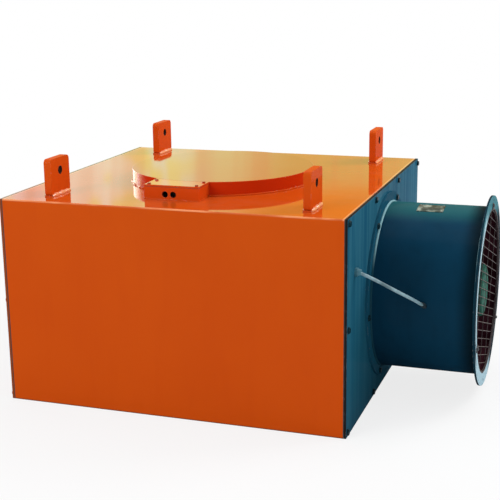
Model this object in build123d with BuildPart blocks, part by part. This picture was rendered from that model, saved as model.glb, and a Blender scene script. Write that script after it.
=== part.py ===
from build123d import *
import math
import os

# Suspended electromagnet for lifting tramp iron off a conveyor belt.
# Millimetres. X runs along the front, +X is the fan side, Y runs to the back,
# Z is up. The origin is the centre of the working face under the case.

os.makedirs("parts", exist_ok=True)

# Yoke case
case_length = 1100.0
case_depth = 1067.0
case_height = 665.0
pole_wall = 20.0
top_wall = 30.0
end_frame_width = 45.0
end_frame_thickness = 12.0
case_edge_radius = 3.0
bottom_plate_thickness = 12.0
ledge = 24.0

# Lifting lugs
lug_thickness = 24.0
lug_width = 122.0
lug_height = 118.0
lug_corner_radius = 14.0
lug_hole_radius = 13.0
lug_hole_height = 77.0
lug_end_inset = 128.0
lug_front_inset = 128.0
lug_back_inset = 90.0

# Round cover over the core bolts, set a little to the front
cover_y = -24.0
cover_radius = 305.0
cover_height = 45.0
cover_sheet = 6.0
cover_edge_radius = 2.0

# Junction box, joined to the front of the round cover
box_left = -120.0
box_right = 62.0
box_front = -408.0
box_wall = 5.0
lid_thickness = 5.0
lid_gasket_thickness = 1.0
entry_hole_radius = 10.0
entry_hole_height = 16.0
entry_hole_xs = (-51.0, -24.0)
lid_boss_radius = 8.0
lid_screw_size = 6.0
lid_screw_rear_gap = 60.0

# Terminal block and the bushing under it
terminal_width = 96.0
terminal_depth = 26.0
terminal_height = 20.0
terminal_barrier = 4.0
terminal_count = 4
terminal_stud_size = 5.0
terminal_y = -345.0
bushing_radius = 14.0
bushing_bore_radius = 8.0
bushing_flange_radius = 17.0
bushing_flange = 4.0
bushing_offset = 25.0

# Side covers at both ends of the case
panel_thickness = 7.0
panel_gasket_thickness = 3.0
panel_bolt_size = 10.0
panel_bolt_inset = 15.0
panel_bolts_across = 4
panel_bolts_up = 3

# Outlet louvre on the side away from the fan
louvre_width = 620.0
louvre_height = 380.0
louvre_border = 30.0
louvre_depth = 26.0
louvre_sheet = 3.0
louvre_blades = 9
louvre_blade_angle = 42.0
louvre_screw_size = 6.0

# Centre core, pole shoe and coils
core_radius = 210.0
core_bolt_size = 24.0
core_bolt_count = 6
core_bolt_circle = 145.0
core_bolt_reach = 45.0
shoe_radius = 255.0
shoe_thickness = 30.0
shoe_gap = 3.0
shoe_edge = 3.0
shoe_screw_size = 16.0
shoe_screw_circle = 150.0
sleeve_thickness = 4.0
coil_count = 4
coil_inner_radius = 224.0
coil_wall_gap = 58.5
coil_edge = 5.0
spacer_height = 20.0
spacer_width = 30.0
spacer_end_gap = 12.0
spacers_per_layer = 8
board_thickness = 12.0
carrier_thickness = 20.0
carrier_hole_gap = 8.0
rod_size = 20.0
rod_inset = 5.0
rod_end_gap = 14.0
rod_nut_height = 16.0
rod_reach = 22.0
bottom_screw_size = 10.0
bottom_screws_along = 5

# Fan duct on the fan side
fan_axis_rise = 3.5
flange_side_gap = 27.5
duct_wall = 5.0
duct_length = 336.0
base_flange_width = 34.0
base_flange_thickness = 8.0
base_bolt_inset = 15.0
base_bolt_count = 6
base_bolt_first_angle = 7.0
outer_flange_width = 36.0
outer_flange_thickness = 7.0
outer_hole_inset = 16.0
outer_hole_radius = 5.5
outer_hole_count = 6
outer_hole_first_angle = 20.0
flange_weld = 4.0

# Wire guard in the mouth of the duct
guard_wire = 2.5
guard_pitch = 26.0
guard_cross_pitch = 135.0
guard_angle = -18.5
guard_ring_thickness = 4.0
guard_ring_depth = 6.0
guard_tab_width = 18.0
guard_tab_thickness = 2.5
guard_screw_size = 6.0
guard_screw_gap = 4.0
guard_screw_count = 3
guard_screw_first_angle = 85.0

# Fan motor
motor_start = 132.0
motor_frame_length = 150.0
motor_body_radius = 68.0
motor_fin_radius = 83.0
motor_fin_thickness = 3.0
motor_fin_count = 28
motor_bore_radius = 60.0
shield_thickness = 14.0
shield_dome = 22.0
shield_recess = 3.0
shield_rim = 6.0
shield_spigot = 8.0
bearing_outer_radius = 23.5
bearing_width = 14.0
stator_inner_radius = 38.6
stator_length = 108.0
winding = 12.0
air_gap = 0.6
spider_thickness = 8.0
spider_disc_radius = 95.0
spider_arm_count = 4
spider_arm_depth = 40.0
spider_arm_thickness = 6.0
spider_arm_gap = 3.0
spider_bearing_gap = 5.0
spider_bolt_size = 8.0
spider_bolt_circle = 73.0
motor_box_size = 64.0
motor_box_depth = 42.0
motor_box_lid = 6.0
motor_box_lip = 2.0
motor_box_corner = 6.0
motor_box_place = 210.0
motor_box_seat = 86.0

# Fan rotor
shaft_radius = 12.0
shaft_seat_radius = 10.0
hub_radius = 75.0
hub_wall = 6.0
hub_length = 60.0
hub_boss_radius = 22.0
hub_boss_length = 48.0
blade_count = 6
blade_tip_gap = 4.0
blade_root_chord = 112.0
blade_tip_chord = 138.0
blade_root_pitch = 42.0
blade_tip_pitch = 24.0
blade_camber = 12.0
blade_thickness = 7.0
blade_edge = 2.0
hub_to_spider = 14.0
impeller_washer = 3.0
impeller_nut_height = 10.0
shaft_nose = 5.0
shaft_shoulder_gap = 2.0

# Motor lead
lead_diameter = 10.0
gland_y = -435.0
gland_rise = 151.0
gland_hex = 24.0
gland_hex_height = 8.0
gland_nose = 10.0
lead_bush_radius = 8.0
lead_bush_length = 12.0
lead_wall_gap = 51.0
lead_boss_radius = 9.0
lead_boss_length = 20.0

# Rating plate on the duct
plate_length = 84.0
plate_width = 60.0
plate_thickness = 1.2
plate_centre = 150.0
plate_angle = 98.0
rivet_radius = 2.0
rivet_height = 1.0
rivet_inset = 5.0

# Clearances
thread_clearance = 0.1
bolt_clearance = 0.5
seat_clearance = 0.2
running_clearance = 0.05
wire_gap = 0.05
curved_seat = 0.3

# Places worked out from the sizes
half_length = case_length / 2
half_depth = case_depth / 2
inner_depth = case_depth - 2 * pole_wall
inner_top = case_height - top_wall
cavity_half = half_length - end_frame_thickness
cover_top = case_height + cover_height
panel_face = half_length + panel_gasket_thickness + panel_thickness
duct_end = panel_face + duct_length
fan_axis_height = case_height / 2 + fan_axis_rise
base_flange_radius = min(half_depth, case_height / 2) - flange_side_gap
base_bolt_circle = base_flange_radius - base_bolt_inset
duct_outer_radius = base_flange_radius - base_flange_width
duct_inner_radius = duct_outer_radius - duct_wall
outer_flange_radius = duct_outer_radius + outer_flange_width
outer_hole_circle = outer_flange_radius - outer_hole_inset
guard_screw_circle = duct_outer_radius + guard_screw_gap
hex_across = 1.6
head_height = 0.65
shoe_bottom = bottom_plate_thickness + shoe_gap
core_bottom = shoe_bottom + shoe_thickness
rod_bottom = core_bottom + rod_end_gap
carrier_top = rod_bottom + 1.5 * rod_nut_height + carrier_thickness
stack_room = inner_top - board_thickness - carrier_top - (coil_count + 1) * spacer_height
coil_height = stack_room / coil_count
coil_outer_radius = min(cavity_half, inner_depth / 2) - coil_wall_gap
rod_spacing = 2 * (coil_outer_radius - rod_inset)


def end_plane(side, distance):
    """Plane parallel to the case ends, facing out on that side."""
    return Plane(origin=(side * distance, 0, 0), x_dir=(0, side, 0), z_dir=(side, 0, 0))


def fan_plane(distance):
    """Plane across the fan axis, distance along X from the side cover's face."""
    return Plane(
        origin=(panel_face + distance, 0, fan_axis_height), x_dir=(0, 1, 0), z_dir=(1, 0, 0)
    )


def top_plane(height):
    return Plane.XY.offset(height)


def hex_bolts(plane, places, size, reach):
    """Hexagon head bolts seated on a plane, one solid for each place."""
    with BuildPart() as bolts:
        with BuildSketch(plane):
            with Locations(*places):
                RegularPolygon(size * hex_across / 2, 6, major_radius=False)
        extrude(amount=size * head_height)
        with BuildSketch(plane):
            with Locations(*places):
                Circle(size / 2)
        extrude(amount=-reach)
    return bolts


def polar_places(radius, count, first_angle):
    """Points of a bolt circle in the plane's own coordinates."""
    places = []
    for index in range(count):
        angle = math.radians(first_angle + index * 360 / count)
        places.append((radius * math.cos(angle), radius * math.sin(angle)))
    return places


def drill(plane, places, radius, depth):
    """Round holes cut below a plane in the part being built."""
    with BuildSketch(plane) as circles:
        with Locations(*places):
            Circle(radius)
    extrude(circles.sketch, amount=-depth, mode=Mode.SUBTRACT)


def panel_places():
    """Bolt places round a side cover: rows along top and bottom, and the middles."""
    half_across = half_depth - panel_bolt_inset
    step_across = 2 * half_across / (panel_bolts_across - 1)
    rise = case_height - 2 * panel_bolt_inset
    step_up = rise / (panel_bolts_up - 1)
    places = []
    for row in (0, panel_bolts_up - 1):
        for column in range(panel_bolts_across):
            places.append((-half_across + column * step_across, panel_bolt_inset + row * step_up))
    for row in range(1, panel_bolts_up - 1):
        for side in (-1, 1):
            places.append((side * half_across, panel_bolt_inset + row * step_up))
    return places


# Yoke case: pole plates, top plate and end frames welded into one shell,
# open below between the ledges that hold the bottom plate
frame_opening_depth = case_depth - 2 * end_frame_width
frame_opening_height = case_height - 2 * end_frame_width
bushing_x = (box_left + box_right) / 2
bushing_y = terminal_y - terminal_depth / 2 - bushing_offset
core_bolt_places = polar_places(core_bolt_circle, core_bolt_count, 0)
rod_places = [(i * rod_spacing / 2, j * rod_spacing / 2) for i in (-1, 1) for j in (-1, 1)]
bottom_row = half_depth - pole_wall - ledge / 2
bottom_step = (2 * cavity_half - 4 * ledge) / (bottom_screws_along - 1)
bottom_places = []
for index in range(bottom_screws_along):
    for side in (-1, 1):
        bottom_places.append((-cavity_half + 2 * ledge + index * bottom_step, side * bottom_row))

with BuildPart() as yoke_case:
    with BuildSketch(Plane.YZ.offset(-half_length)):
        Rectangle(case_depth, case_height, align=(Align.CENTER, Align.MIN))
        Rectangle(inner_depth, inner_top, align=(Align.CENTER, Align.MIN), mode=Mode.SUBTRACT)
    extrude(amount=case_length)
    long_edges = yoke_case.edges().filter_by(Axis.X).group_by(Axis.Z)[-1]
    fillet(long_edges, radius=case_edge_radius)
    for side in (-1, 1):
        with BuildSketch(end_plane(side, half_length)):
            Rectangle(inner_depth, inner_top, align=(Align.CENTER, Align.MIN))
            with Locations((0, case_height / 2)):
                Rectangle(frame_opening_depth, frame_opening_height, mode=Mode.SUBTRACT)
        extrude(amount=-end_frame_thickness)
        with BuildSketch(top_plane(bottom_plate_thickness)):
            with Locations((0, side * bottom_row)):
                Rectangle(2 * cavity_half, ledge)
        extrude(amount=ledge)
    for side in (-1, 1):
        drill(
            end_plane(side, half_length),
            panel_places(),
            panel_bolt_size / 2 + thread_clearance,
            end_frame_thickness + bolt_clearance,
        )
    drill(
        top_plane(bottom_plate_thickness + ledge),
        bottom_places,
        bottom_screw_size / 2 + thread_clearance,
        ledge,
    )
    drill(top_plane(case_height), core_bolt_places, core_bolt_size / 2 + bolt_clearance, top_wall)
    drill(top_plane(case_height), [(bushing_x, bushing_y)], bushing_radius + seat_clearance, top_wall)
    drill(top_plane(inner_top + rod_reach), rod_places, rod_size / 2 + thread_clearance, rod_reach)
yoke_case.part.label = "yoke_case"
export_step(yoke_case.part, "parts/yoke_case.step")

# Lifting lugs, four flat plates welded on end to the top plate, the back pair nearer its edge
lug_x = half_length - lug_end_inset
lug_ys = {"front": lug_front_inset - half_depth, "back": half_depth - lug_back_inset}
for x_side, x_name in ((-1, "left"), (1, "right")):
    for y_name, lug_y in lug_ys.items():
        lug_start = x_side * lug_x - lug_thickness / 2
        with BuildPart() as lug:
            with BuildSketch(Plane.YZ.offset(lug_start)) as lug_face:
                with Locations((lug_y, case_height)):
                    Rectangle(lug_width, lug_height, align=(Align.CENTER, Align.MIN))
                top_corners = lug_face.vertices().group_by(Axis.Z)[-1]
                fillet(top_corners, radius=lug_corner_radius)
                with Locations((lug_y, case_height + lug_hole_height)):
                    Circle(lug_hole_radius, mode=Mode.SUBTRACT)
            extrude(amount=lug_thickness)
        lug_name = f"lifting_lug_{y_name}_{x_name}"
        lug.part.label = lug_name
        export_step(lug.part, f"parts/{lug_name}.step")

# Round cover: a rolled rim and a flat top, welded over the core bolts
with BuildPart() as core_cover:
    with BuildSketch(top_plane(case_height)):
        with Locations((0, cover_y)):
            Circle(cover_radius)
    extrude(amount=cover_height)
    fillet(core_cover.faces().sort_by(Axis.Z)[-1].edges(), radius=cover_edge_radius)
    with BuildSketch(top_plane(case_height)):
        with Locations((0, cover_y)):
            Circle(cover_radius - cover_sheet)
    extrude(amount=cover_height - cover_sheet, mode=Mode.SUBTRACT)
core_cover.part.label = "core_cover"
export_step(core_cover.part, "parts/core_cover.step")

# Core bolts, from the top plate down into the centre core
core_bolts = hex_bolts(
    top_plane(case_height), core_bolt_places, core_bolt_size, top_wall + core_bolt_reach
)
core_bolts.part.label = "core_bolts"
export_step(core_bolts.part, "parts/core_bolts.step")

# Junction box: three walls and four screw bosses. The cover's rim is its back.
box_width = box_right - box_left
box_depth = cover_y - box_front
box_middle = (box_left + box_right) / 2
box_wall_height = cover_height - lid_thickness - lid_gasket_thickness
screw_inset = box_wall + lid_boss_radius - 1
lid_screw_places = []
for x in (box_left + screw_inset, box_right - screw_inset):
    for y in (box_front + screw_inset, box_front + screw_inset + lid_screw_rear_gap):
        lid_screw_places.append((x, y))


def box_outline():
    """Plan of the junction box, cut round to meet the cover's rim."""
    with Locations((box_middle, box_front)):
        Rectangle(box_width, box_depth, align=(Align.CENTER, Align.MIN))
    with Locations((0, cover_y)):
        Circle(cover_radius + seat_clearance, mode=Mode.SUBTRACT)


def box_wall_outline():
    """Plan of the walls and bosses, which the gasket repeats."""
    box_outline()
    with Locations((box_middle, box_front + box_wall)):
        Rectangle(
            box_width - 2 * box_wall, box_depth, align=(Align.CENTER, Align.MIN), mode=Mode.SUBTRACT
        )
    with Locations(*lid_screw_places):
        Circle(lid_boss_radius)


with BuildPart() as junction_box:
    with BuildSketch(top_plane(case_height)):
        box_wall_outline()
    extrude(amount=box_wall_height)
    drill(
        top_plane(case_height + box_wall_height),
        lid_screw_places,
        lid_screw_size / 2 + thread_clearance,
        box_wall_height,
    )
    entry_plane = Plane(origin=(0, box_front, case_height), x_dir=(1, 0, 0), z_dir=(0, -1, 0))
    entry_places = [(x, entry_hole_height) for x in entry_hole_xs]
    drill(entry_plane, entry_places, entry_hole_radius, box_wall)
junction_box.part.label = "junction_box"
export_step(junction_box.part, "parts/junction_box.step")

with BuildPart() as lid_gasket:
    with BuildSketch(top_plane(case_height + box_wall_height)):
        box_wall_outline()
    extrude(amount=lid_gasket_thickness)
    drill(
        top_plane(case_height + box_wall_height + lid_gasket_thickness),
        lid_screw_places,
        lid_screw_size / 2 + bolt_clearance,
        lid_gasket_thickness,
    )
lid_gasket.part.label = "lid_gasket"
export_step(lid_gasket.part, "parts/lid_gasket.step")

with BuildPart() as junction_lid:
    with BuildSketch(top_plane(cover_top - lid_thickness)):
        box_outline()
    extrude(amount=lid_thickness)
    drill(top_plane(cover_top), lid_screw_places, lid_screw_size / 2 + bolt_clearance, lid_thickness)
junction_lid.part.label = "junction_lid"
export_step(junction_lid.part, "parts/junction_lid.step")

lid_screws = hex_bolts(
    top_plane(cover_top), lid_screw_places, lid_screw_size, lid_thickness + box_wall_height / 2
)
lid_screws.part.label = "lid_screws"
export_step(lid_screws.part, "parts/lid_screws.step")

# Terminal block: a moulded bar with barriers between its studs
terminal_pitch = (terminal_width - terminal_barrier) / terminal_count
with BuildPart() as terminal_block:
    with BuildSketch(top_plane(case_height)):
        with Locations((box_middle, terminal_y)):
            Rectangle(terminal_width, terminal_depth)
    extrude(amount=terminal_height / 2)
    with BuildSketch(top_plane(case_height + terminal_height / 2)):
        for index in range(terminal_count + 1):
            barrier_x = box_middle + (index - terminal_count / 2) * terminal_pitch
            with Locations((barrier_x, terminal_y)):
                Rectangle(terminal_barrier, terminal_depth)
    extrude(amount=terminal_height / 2)
terminal_block.part.label = "terminal_block"
export_step(terminal_block.part, "parts/terminal_block.step")

stud_places = []
for index in range(terminal_count):
    stud_x = box_middle + (index - (terminal_count - 1) / 2) * terminal_pitch
    stud_places.append((stud_x, terminal_y))
with BuildPart() as terminal_studs:
    stud_foot = case_height + terminal_height / 2
    with BuildSketch(top_plane(stud_foot)):
        with Locations(*stud_places):
            RegularPolygon(terminal_stud_size * hex_across / 2, 6, major_radius=False)
    extrude(amount=terminal_stud_size * head_height)
    with BuildSketch(top_plane(stud_foot)):
        with Locations(*stud_places):
            Circle(terminal_stud_size / 2)
    extrude(amount=terminal_height / 2)
terminal_studs.part.label = "terminal_studs"
export_step(terminal_studs.part, "parts/terminal_studs.step")

# Lead-through bushing, flanged on the top plate
with BuildPart() as lead_through_bushing:
    with BuildSketch(top_plane(inner_top)):
        with Locations((bushing_x, bushing_y)):
            Circle(bushing_radius)
    extrude(amount=top_wall)
    with BuildSketch(top_plane(case_height)):
        with Locations((bushing_x, bushing_y)):
            Circle(bushing_flange_radius)
    extrude(amount=bushing_flange)
    drill(
        top_plane(case_height + bushing_flange),
        [(bushing_x, bushing_y)],
        bushing_bore_radius,
        bushing_flange + top_wall,
    )
lead_through_bushing.part.label = "lead_through_bushing"
export_step(lead_through_bushing.part, "parts/lead_through_bushing.step")

# Side covers, gaskets and bolts at both ends
gland_z = fan_axis_height + gland_rise
gland_thread_radius = gland_hex / 2 - 4
base_bolt_places = polar_places(base_bolt_circle, base_bolt_count, base_bolt_first_angle)
panel_reach = panel_thickness + panel_gasket_thickness + end_frame_thickness
louvre_opening_width = louvre_width - 2 * louvre_border
louvre_opening_height = louvre_height - 2 * louvre_border
louvre_middle = case_height / 2
louvre_screw_places = []
for column in (-1, 0, 1):
    for row in (-1, 1):
        louvre_screw_places.append(
            (
                column * (louvre_width - louvre_border) / 2,
                louvre_middle + row * (louvre_height - louvre_border) / 2,
            )
        )

for side, end_name in ((1, "fan"), (-1, "outlet")):
    with BuildPart() as gasket:
        with BuildSketch(end_plane(side, half_length)):
            Rectangle(case_depth, case_height, align=(Align.CENTER, Align.MIN))
            with Locations((0, case_height / 2)):
                Rectangle(frame_opening_depth, frame_opening_height, mode=Mode.SUBTRACT)
            with Locations(*panel_places()):
                Circle(panel_bolt_size / 2 + bolt_clearance, mode=Mode.SUBTRACT)
        extrude(amount=panel_gasket_thickness)
    gasket.part.label = f"{end_name}_side_gasket"
    export_step(gasket.part, f"parts/{end_name}_side_gasket.step")

    with BuildPart() as side_cover:
        with BuildSketch(end_plane(side, half_length + panel_gasket_thickness)):
            Rectangle(case_depth, case_height, align=(Align.CENTER, Align.MIN))
            with Locations(*panel_places()):
                Circle(panel_bolt_size / 2 + bolt_clearance, mode=Mode.SUBTRACT)
            if end_name == "fan":
                with Locations((0, fan_axis_height)):
                    Circle(duct_inner_radius, mode=Mode.SUBTRACT)
                with Locations(*[(y, fan_axis_height + z) for y, z in base_bolt_places]):
                    Circle(panel_bolt_size / 2 + thread_clearance, mode=Mode.SUBTRACT)
                with Locations((gland_y, gland_z)):
                    Circle(gland_thread_radius + thread_clearance, mode=Mode.SUBTRACT)
            else:
                with Locations((0, louvre_middle)):
                    Rectangle(louvre_opening_width, louvre_opening_height, mode=Mode.SUBTRACT)
                with Locations(*louvre_screw_places):
                    Circle(louvre_screw_size / 2 + thread_clearance, mode=Mode.SUBTRACT)
        extrude(amount=panel_thickness)
    side_cover.part.label = f"{end_name}_side_cover"
    export_step(side_cover.part, f"parts/{end_name}_side_cover.step")

    cover_bolts = hex_bolts(
        end_plane(side, panel_face), panel_places(), panel_bolt_size, panel_reach
    )
    cover_bolts.part.label = f"{end_name}_side_bolts"
    export_step(cover_bolts.part, f"parts/{end_name}_side_bolts.step")

# Outlet louvre: a flanged frame with sloping blades, welded as one piece
louvre_pitch = louvre_opening_height / louvre_blades
louvre_turn = math.radians(louvre_blade_angle)
louvre_room = louvre_depth - 2 * seat_clearance
louvre_blade_width = (louvre_room - louvre_sheet * math.sin(louvre_turn)) / math.cos(louvre_turn)
with BuildPart() as outlet_louvre:
    with BuildSketch(end_plane(-1, panel_face)):
        with Locations((0, louvre_middle)):
            Rectangle(louvre_width, louvre_height)
            Rectangle(louvre_opening_width, louvre_opening_height, mode=Mode.SUBTRACT)
        with Locations(*louvre_screw_places):
            Circle(louvre_screw_size / 2 + bolt_clearance, mode=Mode.SUBTRACT)
    extrude(amount=louvre_sheet)
    with BuildSketch(end_plane(-1, panel_face)):
        with Locations((0, louvre_middle)):
            Rectangle(louvre_opening_width + 2 * louvre_sheet, louvre_opening_height + 2 * louvre_sheet)
            Rectangle(louvre_opening_width, louvre_opening_height, mode=Mode.SUBTRACT)
    extrude(amount=louvre_depth)
    blade_reach = louvre_opening_width + 2 * louvre_sheet
    with BuildSketch(Plane.XZ.offset(-blade_reach / 2)):
        for index in range(louvre_blades):
            blade_z = louvre_middle + (index + 0.5 - louvre_blades / 2) * louvre_pitch
            with Locations((-panel_face - louvre_depth / 2, blade_z)):
                Rectangle(louvre_blade_width, louvre_sheet, rotation=louvre_blade_angle)
    extrude(amount=blade_reach)
outlet_louvre.part.label = "outlet_louvre"
export_step(outlet_louvre.part, "parts/outlet_louvre.step")

louvre_screws = hex_bolts(
    end_plane(-1, panel_face + louvre_sheet),
    louvre_screw_places,
    louvre_screw_size,
    louvre_sheet + panel_thickness,
)
louvre_screws.part.label = "louvre_screws"
export_step(louvre_screws.part, "parts/louvre_screws.step")

# Bottom plate of non-magnetic steel, flush with the pole plates
sink_radius = bottom_screw_size
with BuildPart() as bottom_plate:
    with BuildSketch(Plane.XY):
        Rectangle(2 * (cavity_half - seat_clearance), inner_depth - 2 * seat_clearance)
    extrude(amount=bottom_plate_thickness)
    with Locations(Plane(origin=(0, 0, 0), z_dir=(0, 0, -1))):
        with Locations(*[(x, -y) for x, y in bottom_places]):
            CounterSinkHole(
                bottom_screw_size / 2 + bolt_clearance,
                sink_radius + bolt_clearance,
                bottom_plate_thickness,
                90,
            )
bottom_plate.part.label = "bottom_plate"
export_step(bottom_plate.part, "parts/bottom_plate.step")

# Countersunk screws, one solid for each place, flush with the working face
head_depth = sink_radius - bottom_screw_size / 2
screw_length = bottom_plate_thickness + ledge
with BuildPart() as bottom_screws:
    with BuildSketch(Plane.XY):
        with Locations(*bottom_places):
            Circle(bottom_screw_size / 2)
    extrude(amount=screw_length)
    with Locations(*[(x, y, 0) for x, y in bottom_places]):
        Cone(
            sink_radius,
            bottom_screw_size / 2,
            head_depth,
            align=(Align.CENTER, Align.CENTER, Align.MIN),
        )
bottom_screws.part.label = "bottom_screws"
export_step(bottom_screws.part, "parts/bottom_screws.step")

# Centre core, bolted up to the top plate
shoe_screw_places = polar_places(shoe_screw_circle, core_bolt_count, 30)
with BuildPart() as centre_core:
    with BuildSketch(top_plane(core_bottom)):
        Circle(core_radius)
    extrude(amount=inner_top - core_bottom)
    drill(
        top_plane(inner_top), core_bolt_places, core_bolt_size / 2 + thread_clearance, core_bolt_reach
    )
    drill(
        top_plane(core_bottom + shoe_thickness),
        shoe_screw_places,
        shoe_screw_size / 2 + thread_clearance,
        shoe_thickness,
    )
centre_core.part.label = "centre_core"
export_step(centre_core.part, "parts/centre_core.step")

# Pole shoe, a wider disc under the core
with BuildPart() as pole_shoe:
    with BuildSketch(top_plane(shoe_bottom)):
        Circle(shoe_radius)
        with Locations(*shoe_screw_places):
            Circle(shoe_screw_size / 2 + bolt_clearance, mode=Mode.SUBTRACT)
    extrude(amount=shoe_thickness)
    chamfer(pole_shoe.edges().filter_by(GeomType.CIRCLE).sort_by(SortBy.RADIUS)[-2:], length=shoe_edge)
    with BuildSketch(top_plane(shoe_bottom)):
        with Locations(*shoe_screw_places):
            Circle(shoe_screw_size)
    extrude(amount=shoe_thickness / 2, mode=Mode.SUBTRACT)
pole_shoe.part.label = "pole_shoe"
export_step(pole_shoe.part, "parts/pole_shoe.step")

# Cap screws in the counterbores of the pole shoe
with BuildPart() as shoe_screws:
    with BuildSketch(top_plane(shoe_bottom)):
        with Locations(*shoe_screw_places):
            Circle(shoe_screw_size - bolt_clearance)
    extrude(amount=shoe_thickness / 2)
    with BuildSketch(top_plane(shoe_bottom + shoe_thickness / 2)):
        with Locations(*shoe_screw_places):
            Circle(shoe_screw_size / 2)
    extrude(amount=shoe_thickness)
shoe_screws.part.label = "shoe_screws"
export_step(shoe_screws.part, "parts/shoe_screws.step")

# Insulation sleeve round the core
with BuildPart() as core_sleeve:
    with BuildSketch(top_plane(core_bottom + seat_clearance)):
        Circle(core_radius + curved_seat + sleeve_thickness)
        Circle(core_radius + curved_seat, mode=Mode.SUBTRACT)
    extrude(amount=inner_top - core_bottom - board_thickness - 2 * seat_clearance)
core_sleeve.part.label = "core_sleeve"
export_step(core_sleeve.part, "parts/core_sleeve.step")

# Coil stack between the carrier and the top plate: spacers and coils in turn, then the board
with BuildPart() as insulation_board:
    with BuildSketch(top_plane(inner_top - board_thickness)):
        Circle(coil_outer_radius)
        Circle(core_radius + curved_seat, mode=Mode.SUBTRACT)
        with Locations((bushing_x, bushing_y)):
            Circle(bushing_bore_radius, mode=Mode.SUBTRACT)
    extrude(amount=board_thickness)
insulation_board.part.label = "insulation_board"
export_step(insulation_board.part, "parts/insulation_board.step")

for index in range(coil_count):
    coil_bottom = carrier_top + spacer_height + index * (coil_height + spacer_height)
    with BuildPart() as coil:
        with BuildSketch(top_plane(coil_bottom)):
            Circle(coil_outer_radius)
            Circle(coil_inner_radius, mode=Mode.SUBTRACT)
        extrude(amount=coil_height)
        chamfer(coil.edges().filter_by(GeomType.CIRCLE).sort_by(SortBy.RADIUS)[-2:], length=coil_edge)
    coil_name = f"pancake_coil_{index + 1}"
    coil.part.label = coil_name
    export_step(coil.part, f"parts/{coil_name}.step")

# Spacer blocks, laid like spokes between the coils so that air can pass
spacer_length = coil_outer_radius - coil_inner_radius - 2 * spacer_end_gap
spacer_middle = (coil_outer_radius + coil_inner_radius) / 2
with BuildPart() as coil_spacers:
    for layer in range(coil_count + 1):
        with BuildSketch(top_plane(carrier_top + layer * (coil_height + spacer_height))):
            with PolarLocations(spacer_middle, spacers_per_layer, 360 / spacers_per_layer / 2):
                Rectangle(spacer_length, spacer_width)
        extrude(amount=spacer_height)
coil_spacers.part.label = "coil_spacers"
export_step(coil_spacers.part, "parts/coil_spacers.step")

# Carrier plate under the stack, pulled up by four tie rods
carrier_side = rod_spacing + 3 * rod_size
with BuildPart() as coil_carrier:
    with BuildSketch(top_plane(carrier_top - carrier_thickness)):
        RectangleRounded(carrier_side, carrier_side, 1.5 * rod_size)
        Circle(coil_inner_radius + carrier_hole_gap, mode=Mode.SUBTRACT)
        with Locations(*rod_places):
            Circle(rod_size / 2 + bolt_clearance, mode=Mode.SUBTRACT)
    extrude(amount=carrier_thickness)
coil_carrier.part.label = "coil_carrier"
export_step(coil_carrier.part, "parts/coil_carrier.step")

with BuildPart() as tie_rods:
    with BuildSketch(top_plane(rod_bottom)):
        with Locations(*rod_places):
            Circle(rod_size / 2)
    extrude(amount=inner_top + rod_reach - rod_bottom)
tie_rods.part.label = "tie_rods"
export_step(tie_rods.part, "parts/tie_rods.step")

with BuildPart() as tie_rod_nuts:
    with BuildSketch(top_plane(carrier_top - carrier_thickness - rod_nut_height)):
        with Locations(*rod_places):
            RegularPolygon(rod_size * hex_across / 2, 6, major_radius=False)
            Circle(rod_size / 2 + thread_clearance, mode=Mode.SUBTRACT)
    extrude(amount=rod_nut_height)
tie_rod_nuts.part.label = "tie_rod_nuts"
export_step(tie_rod_nuts.part, "parts/tie_rod_nuts.step")

# Motor lead: from the gland on the side cover, through the duct wall, to the motor
# Points are from the side cover's face, along Y, and up from the fan axis.
outside_points = [
    (gland_hex_height, gland_y, gland_rise),
    (44, -433, 146),
    (76, -421, 130),
    (106, -397, 102),
    (138, -364, 72),
    (158, -duct_outer_radius - lead_wall_gap, 45),
]
inside_points = [
    (183.8, -246.6, -1),
    (197, -200, -9),
    (206, -152, -13),
    (210, -118, -14),
]
lead_route = [(panel_face + x, y, fan_axis_height + z) for x, y, z in outside_points + inside_points]


def corner_radii(points):
    """Largest arc for each corner: 0.45 of the shorter run over the half turn's tangent."""
    radii = []
    for before, here, after in zip(points, points[1:], points[2:]):
        run_in = Vector(*here) - Vector(*before)
        run_out = Vector(*after) - Vector(*here)
        half_turn = math.radians(run_in.get_angle(run_out)) / 2
        radii.append(0.45 * min(run_in.length, run_out.length) / math.tan(half_turn))
    return radii


lead_radii = corner_radii(lead_route)
print("lead radii", [round(radius) for radius in lead_radii])
with BuildPart() as fan_lead:
    with BuildLine() as lead_line:
        FilletPolyline(*lead_route, radius=lead_radii)
    lead_start = Plane(origin=lead_line.line @ 0, z_dir=lead_line.line % 0)
    with BuildSketch(lead_start):
        Circle(lead_diameter / 2)
    sweep(path=lead_line.line)
lead_length = lead_line.wire().length
lead_section = math.pi * (lead_diameter / 2) ** 2
print("lead length", round(lead_length, 1))
print("lead volume over section times length", round(fan_lead.part.volume / (lead_section * lead_length), 4))
fan_lead.part.label = "fan_lead"
export_step(fan_lead.part, "parts/fan_lead.step")

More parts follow.
